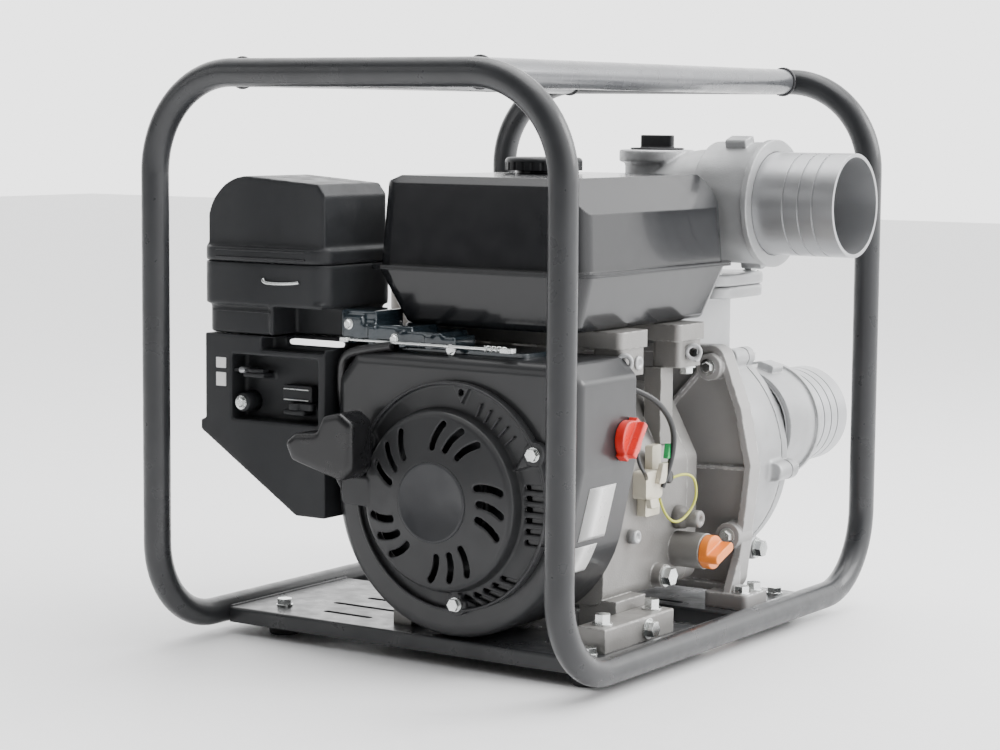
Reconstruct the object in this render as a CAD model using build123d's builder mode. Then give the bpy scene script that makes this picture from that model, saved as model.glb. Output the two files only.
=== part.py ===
from build123d import *
from math import cos, radians, sin
import os

# Engine-driven 100 mm water pump in a tube frame, one solid per real piece.
#
# Millimetres, +Z up. Seen from the recoil starter, +X is to the right and +Y runs along the crankshaft
# towards the pump. The origin is on the ground under the middle of the whole box. Places are given
# from the middle of the tube frame, which facing(), sideways(), level() and spot() carry to the origin.

os.makedirs("parts", exist_ok=True)

# ---------------------------------------------------------------- driving dimensions
frame_x, frame_y = -15.35, -39.0  # middle of the tube frame from the origin

tube_r, tube_wall = 12.7, 2.0
half_width, half_depth = 220.0, 288.0  # tube centres of the frame
runner_z, top_z = 22.0, 531.0
top_bend, low_bend = 90.0, 78.0
rail_x = 128.0

plate_top, plate_sheet, plate_flange = 26.3, 3.0, 14.7
plate_half = 207.2
foot_r, foot_bore = 15.0, 4.1
front_feet = ((-168, -165), (184, -181))
rear_feet = ((-168, 165), (186, 165))

crank_x, crank_z = 48.0, 154.0
bore_tilt = 25.0  # cylinder above horizontal, leaning to -X
bore_y, bore_r, half_stroke = -42.0, 38.5, 29.0
deck = 160.0  # crank axis to the top of the cylinder
running_gap = 0.04  # radial gap of shafts in their bores
gas_x, gas_z = -105.0, 249.0  # inlet port at the front of the head, exhaust port behind it

bar_front, bar_back = -172.0, -52.0
left_bar, right_bar = (-34.0, -14.0), (165.0, 195.0)
left_bar_top, right_bar_top = 43.0, 48.0

case_front, case_back = -105.8, 46.0
cover_back = 64.0
oil_y, oil_z = 28.0, 88.0  # filler neck
shroud_front, shroud_back, shroud_r = -204.0, -106.0, 126.0
recoil_face, recoil_ring_r = -229.0, 103.0
recoil_ring_x, recoil_ring_z = crank_x + 8.0, crank_z + 4.0  # the flange sits off the crank axis
knob_y, knob_z = -126.0, 211.0  # engine switch

tank_x = (-65.0, 165.0)
tank_y = (-167.0, 103.0)
tank_seam, tank_low, tank_high = 356.0, 303.0, 440.0
lug_low = 262.0  # foot of the tank's brackets
cap_x, cap_y, cap_r = 16.0, 0.0, 37.0

cleaner_x, cleaner_y = (-232.0, -84.0), (-214.0, -102.0)
cleaner_low, cleaner_seam, cleaner_high = 290.0, 357.0, 437.0

pump_front, pump_back, volute_r = 112.0, 214.0, 119.0
drain_y, drain_z = 186.0, 66.0  # drain of the pump casing
port_x, port_y, port_z = 44.0, 167.0, 411.5  # discharge elbow
suction_x, suction_z = 108.0, 181.0
tail_r, tail_bore, groove_depth = 50.0, 46.5, 1.2
tail_end_x, tail_end_y = 263.4, 378.7
nut_r, nut_length = 59.5, 62.0


# ---------------------------------------------------------------- planes and small shapes
def spot(x, y, z):
    """Location of a point given from the middle of the frame."""
    return Location((frame_x + x, frame_y + y, z))


def facing(x, y, z):
    """Plane seen from the recoil side: local x to +X, local y up, normal to -Y."""
    return Plane(origin=(frame_x + x, frame_y + y, z), x_dir=(1, 0, 0), z_dir=(0, -1, 0))


def sideways(x, y, z):
    """Plane seen from the right: local x to +Y, local y up, normal to +X."""
    return Plane(origin=(frame_x + x, frame_y + y, z), x_dir=(0, 1, 0), z_dir=(1, 0, 0))


def level(x, y, z):
    """Horizontal plane with the normal up."""
    return Plane(origin=(frame_x + x, frame_y + y, z), x_dir=(1, 0, 0), z_dir=(0, 0, 1))


def along_bore(distance):
    """Plane square to the cylinder bore, a distance from the crank axis; local x to +Y."""
    tilt = radians(bore_tilt)
    outward = (-cos(tilt), 0, sin(tilt))
    start = (
        frame_x + crank_x - distance * cos(tilt),
        frame_y + bore_y,
        crank_z + distance * sin(tilt),
    )
    return Plane(origin=start, x_dir=(0, 1, 0), z_dir=outward)


def crank_axis():
    return Axis((frame_x + crank_x, frame_y, crank_z), (0, 1, 0))


def turned(profile):
    """Solid of revolution about the crank axis from (y, radius) points."""
    with BuildPart() as body:
        with BuildSketch(sideways(crank_x, 0, crank_z)):
            with BuildLine():
                Polyline(*profile, close=True)
            make_face()
        revolve(axis=crank_axis())
    return body.part


def hex_bolt(seat, flats, head, shank_r, shank, washer_r=0.0, washer=0.0):
    """Hexagon bolt on a seat plane: washer and head above it, shank below."""
    with BuildPart() as bolt:
        if washer > 0:
            with BuildSketch(seat):
                Circle(washer_r)
            extrude(amount=washer)
        with BuildSketch(seat.offset(washer)):
            RegularPolygon(flats / 2, 6, major_radius=False)
        extrude(amount=head)
        with BuildSketch(seat):
            Circle(shank_r)
        extrude(amount=-shank)
    return bolt.part


def hollow_rod(start, outer, inner, length):
    """Plain tube from a plane along its normal."""
    with BuildPart() as rod:
        with BuildSketch(start):
            Circle(outer)
            if inner > 0:
                Circle(inner, mode=Mode.SUBTRACT)
        extrude(amount=length)
    return rod.part


# ---------------------------------------------------------------- tube frame
def half_loop(side):
    """One bent tube: half the front bar, an upright, a runner, an upright, half the rear bar."""
    x_side = frame_x + side * half_width
    y_front, y_back = frame_y - half_depth, frame_y + half_depth
    corners = (
        (frame_x, y_front, top_z),
        (x_side, y_front, top_z),
        (x_side, y_front, runner_z),
        (x_side, y_back, runner_z),
        (x_side, y_back, top_z),
        (frame_x, y_back, top_z),
    )
    with BuildPart() as loop:
        with BuildLine() as route:
            FilletPolyline(*corners, radius=(top_bend, low_bend, low_bend, top_bend))
        with BuildSketch(Plane(origin=corners[0], x_dir=(0, 1, 0), z_dir=(side, 0, 0))):
            Circle(tube_r)
            Circle(tube_r - tube_wall, mode=Mode.SUBTRACT)
        sweep(path=route.line)
    return loop.part


with BuildPart() as frame_tube_left:
    add(half_loop(-1))
frame_tube_left.part.label = "frame_tube_left"
export_step(frame_tube_left.part, "parts/frame_tube_left.step")

with BuildPart() as frame_tube_right:
    add(half_loop(1))
frame_tube_right.part.label = "frame_tube_right"
export_step(frame_tube_right.part, "parts/frame_tube_right.step")

with BuildPart() as top_rails:
    with BuildSketch(facing(0, -half_depth, top_z)):
        with Locations((-rail_x, 0), (rail_x, 0)):
            Circle(tube_r)
            Circle(tube_r - tube_wall, mode=Mode.SUBTRACT)
    extrude(amount=-2 * half_depth)
    for y_bar in (-half_depth, half_depth):
        with BuildSketch(sideways(-half_width, y_bar, top_z)):
            Circle(tube_r + 0.5)
        extrude(amount=2 * half_width, mode=Mode.SUBTRACT)
top_rails.part.label = "top_rails"
export_step(top_rails.part, "parts/top_rails.step")


# ---------------------------------------------------------------- base plates and feet
def channel(front, back, slots):
    """Folded cross plate with a flange down at both long edges."""
    low = plate_top - plate_flange
    under = plate_top - plate_sheet
    with BuildPart() as plate:
        with BuildSketch(sideways(-plate_half, 0, 0)):
            with BuildLine():
                Polyline(
                    (front, low), (front, plate_top), (back, plate_top), (back, low),
                    (back - plate_sheet, low), (back - plate_sheet, under),
                    (front + plate_sheet, under), (front + plate_sheet, low),
                    close=True,
                )
            make_face()
        extrude(amount=2 * plate_half)
        folds = plate.edges().filter_by(Axis.X).group_by(Axis.Z)[-1]
        fillet(folds, radius=plate_sheet)
        for x, y, slot_length in slots:
            with BuildSketch(level(x, y, plate_top)):
                SlotOverall(slot_length, 7.0)
            extrude(amount=-plate_sheet, mode=Mode.SUBTRACT)
    return plate.part


bar_bolt_places = (
    (-24, -92, left_bar_top), (-24, -68, left_bar_top),
    (180, -152, right_bar_top), (180, -66, right_bar_top),
)

with BuildPart() as front_base_plate:
    add(channel(-200, -15, ((-93, -164, 56), (-96, -126, 84), (-100, -89, 50))))
    with BuildSketch(level(0, 0, plate_top)):
        with Locations(*front_feet):
            Circle(foot_bore)
        with Locations(*[(x, y) for x, y, top in bar_bolt_places]):
            Circle(5.2)
    extrude(amount=-plate_sheet, mode=Mode.SUBTRACT)
front_base_plate.part.label = "front_base_plate"
export_step(front_base_plate.part, "parts/front_base_plate.step")

bracket_foot = 14.0
pump_foot_bolts = [(x, y) for x in (-98, 194) for y in (82, 106)]

with BuildPart() as rear_base_plate:
    add(channel(52, 190, ((-10, 150, 120), (100, 72, 70))))
    with BuildSketch(level(0, 0, plate_top)):
        with Locations(*rear_feet, *pump_foot_bolts):
            Circle(foot_bore)
    extrude(amount=-plate_sheet, mode=Mode.SUBTRACT)
rear_base_plate.part.label = "rear_base_plate"
export_step(rear_base_plate.part, "parts/rear_base_plate.step")

with BuildPart() as rubber_feet:
    with BuildSketch(level(0, 0, 0)):
        with Locations(*front_feet, *rear_feet):
            Circle(foot_r)
            Circle(foot_bore, mode=Mode.SUBTRACT)
    extrude(amount=plate_top - plate_sheet)
    chamfer(rubber_feet.edges().filter_by(GeomType.CIRCLE).group_by(Axis.Z)[0], length=1.5)
rubber_feet.part.label = "rubber_feet"
export_step(rubber_feet.part, "parts/rubber_feet.step")

with BuildPart() as foot_bolts:
    for x, y in (*front_feet, *rear_feet):
        add(hex_bolt(level(x, y, plate_top), 13, 5.3, 4.0, 20, 8.0, 1.6))
foot_bolts.part.label = "foot_bolts"
export_step(foot_bolts.part, "parts/foot_bolts.step")

# ---------------------------------------------------------------- engine mounting bars
left_side_bolt, right_side_bolt = (-80, 34.6), (-98, 37)

with BuildPart() as engine_mount_bars:
    for (x_low, x_high), top in ((left_bar, left_bar_top), (right_bar, right_bar_top)):
        with BuildSketch(level((x_low + x_high) / 2, (bar_front + bar_back) / 2, plate_top)):
            Rectangle(x_high - x_low, bar_back - bar_front)
        extrude(amount=top - plate_top)
    chamfer(engine_mount_bars.edges().filter_by(Axis.Y).group_by(Axis.Z)[-1], length=1.0)
    for x, y, top in bar_bolt_places:
        with BuildSketch(level(x, y, top)):
            Circle(5.2)
        extrude(amount=plate_top - top, mode=Mode.SUBTRACT)
    for x_start, (y, z) in ((left_bar[0], left_side_bolt), (right_bar[0], right_side_bolt)):
        with BuildSketch(sideways(x_start, y, z)):
            Circle(5.2)
        extrude(amount=30, mode=Mode.SUBTRACT)
engine_mount_bars.part.label = "engine_mount_bars"
export_step(engine_mount_bars.part, "parts/engine_mount_bars.step")

with BuildPart() as mount_bolts:
    for x, y, top in bar_bolt_places:
        add(hex_bolt(level(x, y, top), 13, 8, 5.0, top - plate_top + 8, 9.5, 1.5))
    add(hex_bolt(sideways(right_bar[1], *right_side_bolt), 13, 7, 5.0, 44, 9.5, 1.5))
    left_seat = Plane(
        origin=spot(left_bar[0], *left_side_bolt).position,
        x_dir=(0, -1, 0),
        z_dir=(-1, 0, 0),
    )
    add(hex_bolt(left_seat, 13, 7, 5.0, 34, 8.0, 1.5))
mount_bolts.part.label = "mount_bolts"
export_step(mount_bolts.part, "parts/mount_bolts.step")

# ---------------------------------------------------------------- engine block
journal_r = 15.0


def case_outline(inset):
    """Crankcase outline square to the crank, drawn from the crank axis."""
    with BuildSketch(Plane.XY) as outline:
        with BuildLine():
            Polyline(
                (-58, -88), (-40, -102), (104, -102), (104, 20), (70, 84), (-28, 92), (-58, 50), close=True,
            )
        make_face()
        fillet(outline.vertices(), radius=14)
        if inset > 0:
            offset(amount=-inset, mode=Mode.REPLACE)
    return outline.sketch


with BuildPart() as crankcase:
    with BuildSketch(facing(crank_x, case_back, crank_z)):
        add(case_outline(0))
    extrude(amount=case_back - case_front)
    # cylinder barrel with cooling fins
    with BuildSketch(along_bore(30)):
        Circle(bore_r + 9)
    extrude(amount=deck - 30)
    for fin in range(7):
        with BuildSketch(along_bore(deck - 78 + fin * 12)):
            RectangleRounded(112, 112, 16)
        extrude(amount=3)
    with BuildSketch(along_bore(deck - 10)):
        RectangleRounded(106, 106, 14)
    extrude(amount=10)
    # hollow crank chamber, open to the cover
    with BuildSketch(facing(crank_x, case_back, crank_z)):
        add(case_outline(7))
    extrude(amount=case_back - case_front - 8, mode=Mode.SUBTRACT)
    with BuildSketch(along_bore(10)):
        Circle(bore_r)
    extrude(amount=deck - 10, mode=Mode.SUBTRACT)
    # front bearing hub
    with BuildSketch(facing(crank_x, case_front + 8, crank_z)):
        Circle(34)
    extrude(amount=18)
    with BuildSketch(facing(crank_x, case_front + 8, crank_z)):
        Circle(journal_r + running_gap)
    extrude(amount=18, mode=Mode.SUBTRACT)
    # feet between the mounting bars
    for x_low, x_high in ((left_bar[1], 34), (126, right_bar[0])):
        with BuildSketch(level((x_low + x_high) / 2, -78, 28)):
            Rectangle(x_high - x_low, 52)
        extrude(amount=30)
    for x_start, (y, z) in ((left_bar[1], left_side_bolt), (151, right_side_bolt)):
        with BuildSketch(sideways(x_start, y, z)):
            Circle(5.05)
        extrude(amount=14, mode=Mode.SUBTRACT)
    # filler neck boss and drain boss on the right side
    with BuildSketch(sideways(crank_x + 98, oil_y, oil_z)):
        Circle(17)
    extrude(amount=38)
    with BuildSketch(sideways(crank_x + 90, oil_y, oil_z)):
        Circle(10.5)
    extrude(amount=46, mode=Mode.SUBTRACT)
    with BuildSketch(sideways(crank_x + 98, -10, 68)):
        Circle(11)
    extrude(amount=16)
    with BuildSketch(sideways(crank_x + 94, -10, 68)):
        Circle(6.05)
    extrude(amount=20, mode=Mode.SUBTRACT)
    # tank posts
    for x, y, low in ((-40, -80, 232), (-40, 10, 232), (140, -80, 190), (140, 10, 190)):
        with BuildSketch(level(x, y, low)):
            Rectangle(18, 22)
        extrude(amount=lug_low - low)
crankcase.part.label = "crankcase"
export_step(crankcase.part, "parts/crankcase.step")

with BuildPart() as crankcase_cover:
    with BuildSketch(facing(crank_x, cover_back, crank_z)):
        add(case_outline(0))
    extrude(amount=cover_back - case_back)
    with BuildSketch(facing(crank_x, case_back + 8, crank_z)):
        add(case_outline(9))
    extrude(amount=8, mode=Mode.SUBTRACT)
    with BuildSketch(facing(crank_x, cover_back, crank_z)):
        Circle(36)
    extrude(amount=cover_back - case_back + 10)
    with BuildSketch(facing(crank_x, cover_back, crank_z)):
        Circle(journal_r + running_gap)
    extrude(amount=cover_back - case_back + 10, mode=Mode.SUBTRACT)
crankcase_cover.part.label = "crankcase_cover"
export_step(crankcase_cover.part, "parts/crankcase_cover.step")

with BuildPart() as cylinder_head:
    with BuildSketch(along_bore(deck)):
        RectangleRounded(108, 108, 14)
    extrude(amount=38)
    for fin in range(3):
        with BuildSketch(along_bore(deck + 7 + fin * 10)):
            RectangleRounded(118, 118, 16)
        extrude(amount=3)
    with BuildSketch(along_bore(deck)):
        Circle(bore_r - 3)
    extrude(amount=9, mode=Mode.SUBTRACT)
    # inlet port to the front, outlet port to the back
    with BuildSketch(facing(gas_x, bore_y - 12, gas_z)):
        Circle(12)
    extrude(amount=60, mode=Mode.SUBTRACT)
    with BuildSketch(facing(gas_x, bore_y + 72, gas_z)):
        Circle(12)
    extrude(amount=60, mode=Mode.SUBTRACT)
    # spark plug seat, entered from below
    plug_seat = Plane(
        origin=along_bore(deck + 20).origin + 60 * along_bore(deck).y_dir,
        x_dir=(0, 1, 0),
        z_dir=along_bore(deck).y_dir,
    )
    with BuildSketch(plug_seat.offset(-8)):
        Circle(11)
    extrude(amount=10, mode=Mode.SUBTRACT)
    with BuildSketch(plug_seat.offset(-34)):
        Circle(7.0)
    extrude(amount=27, mode=Mode.SUBTRACT)
cylinder_head.part.label = "cylinder_head"
export_step(cylinder_head.part, "parts/cylinder_head.step")

with BuildPart() as rocker_cover:
    with BuildSketch(along_bore(deck + 38)):
        RectangleRounded(104, 92, 14)
    extrude(amount=4)
    with BuildSketch(along_bore(deck + 42)):
        RectangleRounded(92, 80, 12)
    extrude(amount=24)
    bore_axis = Axis(along_bore(0).origin, along_bore(0).z_dir)
    fillet(rocker_cover.faces().sort_by(bore_axis)[-1].edges(), radius=6)
    with BuildSketch(along_bore(deck + 38)):
        RectangleRounded(86, 74, 10)
    extrude(amount=25, mode=Mode.SUBTRACT)
rocker_cover.part.label = "rocker_cover"
export_step(rocker_cover.part, "parts/rocker_cover.step")

with BuildPart() as spark_plug:
    add(hollow_rod(plug_seat.offset(-34), 6.9, 0, 27))
    with BuildSketch(plug_seat.offset(-7)):
        RegularPolygon(9, 6, major_radius=False)
    extrude(amount=11)
    add(hollow_rod(plug_seat.offset(4), 6, 0, 30))
spark_plug.part.label = "spark_plug"
export_step(spark_plug.part, "parts/spark_plug.step")

# ---------------------------------------------------------------- what turns with the crank
hub_front, shaft_end = -196.0, 176.0
taper_r, pto_r = 11.0, 12.7

with BuildPart() as crankshaft:
    add(turned((
        (hub_front, 0), (hub_front, taper_r), (-132, taper_r), (-132, journal_r), (-84, journal_r),
        (-84, 22), (-78, 22), (-78, 0),
    )))
    add(turned((
        (-6, 0), (-6, 22), (0, 22), (0, journal_r), (80, journal_r), (80, pto_r), (shaft_end, pto_r),
        (shaft_end, 0),
    )))
    pin_x, pin_z = -half_stroke * cos(radians(bore_tilt)), half_stroke * sin(radians(bore_tilt))
    for y_web in (-62, -6):
        with BuildSketch(facing(crank_x, y_web, crank_z)):
            with BuildLine():
                Polyline(
                    (-42, 20), (-20, 34), (20, -4), (36, -28), (18, -43), (-8, -42), (-26, -8), close=True,
                )
            make_face()
            Circle(24)
        extrude(amount=16)
    with BuildSketch(facing(crank_x, -22, crank_z)):
        with Locations((pin_x, pin_z)):
            Circle(15)
    extrude(amount=40)
crankshaft.part.label = "crankshaft"
export_step(crankshaft.part, "parts/crankshaft.step")

with BuildPart() as piston:
    with BuildSketch(along_bore(108)):
        Circle(bore_r - running_gap)
    extrude(amount=48)
    with BuildSketch(along_bore(108)):
        Circle(bore_r - 6)
    extrude(amount=40, mode=Mode.SUBTRACT)
    for groove in range(3):
        with BuildSketch(along_bore(138 + groove * 5)):
            Circle(bore_r)
            Circle(bore_r - 2.5, mode=Mode.SUBTRACT)
        extrude(amount=1.8, mode=Mode.SUBTRACT)
    pin_start = along_bore(126).origin - Vector(0, bore_r - 2, 0)
    pin_plane = Plane(origin=pin_start, x_dir=(1, 0, 0), z_dir=(0, 1, 0))
    add(hollow_rod(pin_plane, 9, 5, 2 * bore_r - 4))
piston.part.label = "piston"
export_step(piston.part, "parts/piston.step")

with BuildPart() as flywheel:
    add(turned((
        (-160, taper_r), (-160, 30), (-150, 34), (-150, 74), (-160, 76), (-160, 84), (-134, 84), (-134, 66),
        (-142, 62), (-142, 30), (-132, 26), (-132, taper_r),
    )))
flywheel.part.label = "flywheel"
export_step(flywheel.part, "parts/flywheel.step")

with BuildPart() as cooling_fan:
    add(turned(((-164, 36), (-164, 86), (-160, 86), (-160, 36))))
    for blade in range(12):
        turn = Plane(
            origin=(frame_x + crank_x, frame_y - 164, crank_z),
            x_dir=(cos(radians(30 * blade)), 0, sin(radians(30 * blade))),
            z_dir=(0, -1, 0),
        )
        with BuildSketch(turn):
            with BuildLine():
                Polyline((50, 0), (86, 8), (86, 11), (50, 3), close=True)
            make_face()
        extrude(amount=17)
cooling_fan.part.label = "cooling_fan"
export_step(cooling_fan.part, "parts/cooling_fan.step")

with BuildPart() as starter_cup:
    add(turned((
        (-164, taper_r), (-164, 34), (-190, 34), (-190, 31.5), (-166.5, 31.5), (-166.5, taper_r),
    )))
    for notch in range(4):
        turn = radians(90 * notch + 45)
        seat = Plane(
            origin=(frame_x + crank_x, frame_y - 178, crank_z),
            x_dir=(0, 1, 0),
            z_dir=(cos(turn), 0, sin(turn)),
        )
        with BuildSketch(seat):
            RectangleRounded(8, 12, 2)
        extrude(amount=36, mode=Mode.SUBTRACT)
starter_cup.part.label = "starter_cup"
export_step(starter_cup.part, "parts/starter_cup.step")

# ---------------------------------------------------------------- fan shroud
def shroud_outline(inset):
    """Front view of the shroud from the crank axis: round at the bottom, square above."""
    low_right = shroud_r * cos(radians(-11.8)), shroud_r * sin(radians(-11.8))
    with BuildSketch(Plane.XY) as outline:
        with BuildLine():
            Polyline(
                (-shroud_r, 0), (-shroud_r, 101), (-104, 128), (120, 128), (136, 112), (136, 35), low_right,
            )
            ThreePointArc(low_right, (0, -shroud_r), (-shroud_r, 0))
        make_face()
        fillet(outline.vertices().filter_by_position(Axis.Y, 30, 130), radius=9)
        if inset > 0:
            offset(amount=-inset, mode=Mode.REPLACE)
    return outline.sketch


with BuildPart() as fan_shroud:
    with BuildSketch(facing(crank_x, shroud_back, crank_z)):
        add(shroud_outline(0))
    extrude(amount=shroud_back - shroud_front)
    fillet(fan_shroud.faces().sort_by(Axis.Y)[0].edges(), radius=12)
    with BuildSketch(facing(crank_x, shroud_back, crank_z)):
        add(shroud_outline(2.5))
    extrude(amount=shroud_back - shroud_front - 9, mode=Mode.SUBTRACT)
    with BuildSketch(facing(crank_x, shroud_front + 9, crank_z)):
        Circle(110)
    extrude(amount=6.5, mode=Mode.SUBTRACT)
    with BuildSketch(facing(crank_x, shroud_front + 9, crank_z)):
        Circle(91)
    extrude(amount=9, mode=Mode.SUBTRACT)
    # hole of the engine switch in the right side
    with BuildSketch(sideways(crank_x + 130, knob_y, knob_z)):
        Circle(5)
    extrude(amount=8, mode=Mode.SUBTRACT)
fan_shroud.part.label = "fan_shroud"
export_step(fan_shroud.part, "parts/fan_shroud.step")

# ---------------------------------------------------------------- recoil starter
disc_slot_groups, disc_slots_each = 5, 3
rope_x, rope_z = -47.0, 154.0  # eyelet in the recoil housing
rope_r = 2.2
reel_r = 33.0
rope_y = -216.0

recoil_screw_places = ((97, 49), (16, -92), (-84, 46))
locating_boss = (20, 98)

with BuildPart() as recoil_housing:
    with BuildSketch(facing(crank_x, shroud_front, crank_z)):
        with Locations((recoil_ring_x - crank_x, recoil_ring_z - crank_z)):
            Circle(recoil_ring_r)
        Circle(82, mode=Mode.SUBTRACT)
    extrude(amount=4)
    with BuildSketch(facing(recoil_ring_x, shroud_front, recoil_ring_z)):
        Circle(recoil_ring_r)
        Circle(recoil_ring_r - 2.5, mode=Mode.SUBTRACT)
    extrude(amount=9)
    # slightly domed disc with a steep wall
    add(turned((
        (shroud_front, 84), (-219, 80.5), (-222.5, 77), (recoil_face, 37), (recoil_face, 0), (-226.5, 0),
        (-226.5, 36.5), (-220.2, 75.5), (-217.5, 78), (shroud_front, 81.2),
    )))
    # post that carries the rope reel
    add(turned(((-227, 0), (-227, 7.9), (-205, 7.9), (-205, 0))))
    # lugs for the three screws and a locating boss at the top
    for x, z in recoil_screw_places:
        with BuildSketch(facing(crank_x + x, shroud_front, crank_z + z)):
            Circle(10.5)
        extrude(amount=9)
    with BuildSketch(facing(crank_x + locating_boss[0], shroud_front, crank_z + locating_boss[1])):
        RegularPolygon(10, 3, rotation=-90)
    extrude(amount=9)
    # webs from the disc to the right screw
    with BuildSketch(facing(crank_x, shroud_front, crank_z)):
        with BuildLine():
            Polyline((76, 33), (92, 58), (104, 42), close=True)
        make_face()
    extrude(amount=8)
    # rope outlet on the left
    with BuildSketch(facing(crank_x - 88, shroud_front, crank_z + 2)):
        RectangleRounded(30, 26, 5)
    extrude(amount=20)
    with BuildSketch(facing(crank_x - 82, -207, crank_z + 2)):
        RectangleRounded(28, 19, 4)
    extrude(amount=14, mode=Mode.SUBTRACT)
    with BuildSketch(sideways(crank_x - 108, rope_y, rope_z)):
        Circle(3.6)
    extrude(amount=50, mode=Mode.SUBTRACT)
    # curved air slots on the raised disc
    for group in range(disc_slot_groups):
        for k in range(disc_slots_each):
            middle = 2 + group * 72 + (k - 1) * 16.5
            turn = Plane(
                origin=(frame_x + crank_x, frame_y + recoil_face, crank_z),
                x_dir=(cos(radians(middle)), 0, sin(radians(middle))),
                z_dir=(0, -1, 0),
            )
            with BuildSketch(turn):
                with BuildLine():
                    curve = ThreePointArc((49, 1), (60.5, -2.5), (70, -9))
                SlotArc(curve, height=6.0)
            extrude(amount=-11, mode=Mode.SUBTRACT)
    # level slots right of the disc, slanting slots below it
    for k in range(6):
        with BuildSketch(facing(crank_x + 95, shroud_front, crank_z + 19 - 9.7 * k)):
            SlotOverall(20, 4.6)
        extrude(amount=12, mode=Mode.SUBTRACT)
    for k in range(5):
        around, slant = radians(-47 - 7.3 * k), radians(-9 - 2.2 * k)
        slot_x, slot_z = 87 * cos(around) + 11 * cos(slant), 87 * sin(around) + 11 * sin(slant)
        with BuildSketch(facing(crank_x + slot_x, shroud_front, crank_z + slot_z)):
            SlotOverall(22, 4.2, rotation=-9 - 2.2 * k)
        extrude(amount=12, mode=Mode.SUBTRACT)
    for x, z in recoil_screw_places:
        with BuildSketch(facing(crank_x + x, shroud_front, crank_z + z)):
            Circle(3.05)
        extrude(amount=12, mode=Mode.SUBTRACT)
    with BuildSketch(facing(crank_x + locating_boss[0], shroud_front, crank_z + locating_boss[1])):
        Circle(3)
    extrude(amount=12, mode=Mode.SUBTRACT)
recoil_housing.part.label = "recoil_housing"
export_step(recoil_housing.part, "parts/recoil_housing.step")

with BuildPart() as recoil_screws:
    for x, z in recoil_screw_places:
        add(hex_bolt(facing(crank_x + x, shroud_front - 9, crank_z + z), 10, 4.5, 3.0, 9, 6.5, 1.2))
recoil_screws.part.label = "recoil_screws"
export_step(recoil_screws.part, "parts/recoil_screws.step")

with BuildPart() as starter_reel:
    add(turned((
        (-206, 8), (-206, reel_r + 9), (-209, reel_r + 9), (-212, reel_r), (-220, reel_r),
        (-221.5, reel_r + 9), (-223.5, reel_r + 9), (-223.5, 8),
    )))
starter_reel.part.label = "starter_reel"
export_step(starter_reel.part, "parts/starter_reel.step")

grip_middle = Vector(-58, -240, 186)
rope_start = spot(rope_x - 11, rope_y, rope_z).position
rope_way = spot(*grip_middle).position - rope_start

with BuildPart() as starter_rope:
    add(hollow_rod(Plane(origin=rope_start, z_dir=rope_way), rope_r, 0, rope_way.length - 16))
starter_rope.part.label = "starter_rope"
export_step(starter_rope.part, "parts/starter_rope.step")

with BuildPart() as starter_grip:
    with BuildSketch(facing(0, -227, 0)) as grip_side:
        with BuildLine():
            Polyline(
                (-94, 200), (-86, 184), (-60, 177), (-30, 169), (-18, 180),
                (-18, 222), (-32, 231), (-50, 227), (-58, 211), (-82, 209), close=True,
            )
        make_face()
        fillet(grip_side.vertices(), radius=5)
    extrude(amount=33)
    fillet(starter_grip.faces().sort_by(Axis.Y)[0].edges(), radius=4.5)
starter_grip.part.label = "starter_grip"
export_step(starter_grip.part, "parts/starter_grip.step")

with BuildPart() as ignition_coil:
    with BuildSketch(facing(crank_x - 24, case_front, crank_z + 96)):
        RectangleRounded(40, 24, 3, rotation=14)
    extrude(amount=50)
ignition_coil.part.label = "ignition_coil"
export_step(ignition_coil.part, "parts/ignition_coil.step")

# ---------------------------------------------------------------- fuel tank
tank_mid_x, tank_mid_y = sum(tank_x) / 2, sum(tank_y) / 2
tank_w, tank_d = tank_x[1] - tank_x[0], tank_y[1] - tank_y[0]
tank_sheet = 1.6


def tank_bowl(inset):
    """Lower half: narrows towards its floor."""
    with BuildPart() as bowl:
        with BuildSketch(level(tank_mid_x, tank_mid_y, tank_seam)):
            RectangleRounded(tank_w - 2 * inset, tank_d - 2 * inset, 18 - inset)
        with BuildSketch(level(tank_mid_x + 4, tank_mid_y, tank_low + inset)):
            RectangleRounded(tank_w - 46 - 2 * inset, tank_d - 24 - 2 * inset, 16 - inset)
        loft()
        fillet(bowl.faces().sort_by(Axis.Z)[0].edges(), radius=9)
    return bowl.part


# bevels of the tank's top: line from the side to the top, (across, height) from the tank's corner
left_bevel, right_bevel = ((2, -12), (24, 0)), ((-5, -31), (-31, 0))
front_bevel, back_bevel = ((2, -11), (15, 0)), ((-2, -11), (-15, 0))


def bevel_face(corner, line, inset):
    """Section of the wedge that a bevel takes off, drawn in a side view."""
    outward = 1 if line[0][0] < line[1][0] else -1
    low_x, low_z = corner + line[0][0] + outward * inset * 0.7, tank_high + line[0][1] - inset * 0.7
    top_x, top_z = corner + line[1][0] + outward * inset * 0.7, tank_high + line[1][1] - inset * 0.7
    run, rise = top_x - low_x, top_z - low_z
    return Polygon(
        (low_x - run, low_z - rise), (top_x + run, top_z + rise), (low_x - run, top_z + rise),
        align=None,
    )


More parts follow.
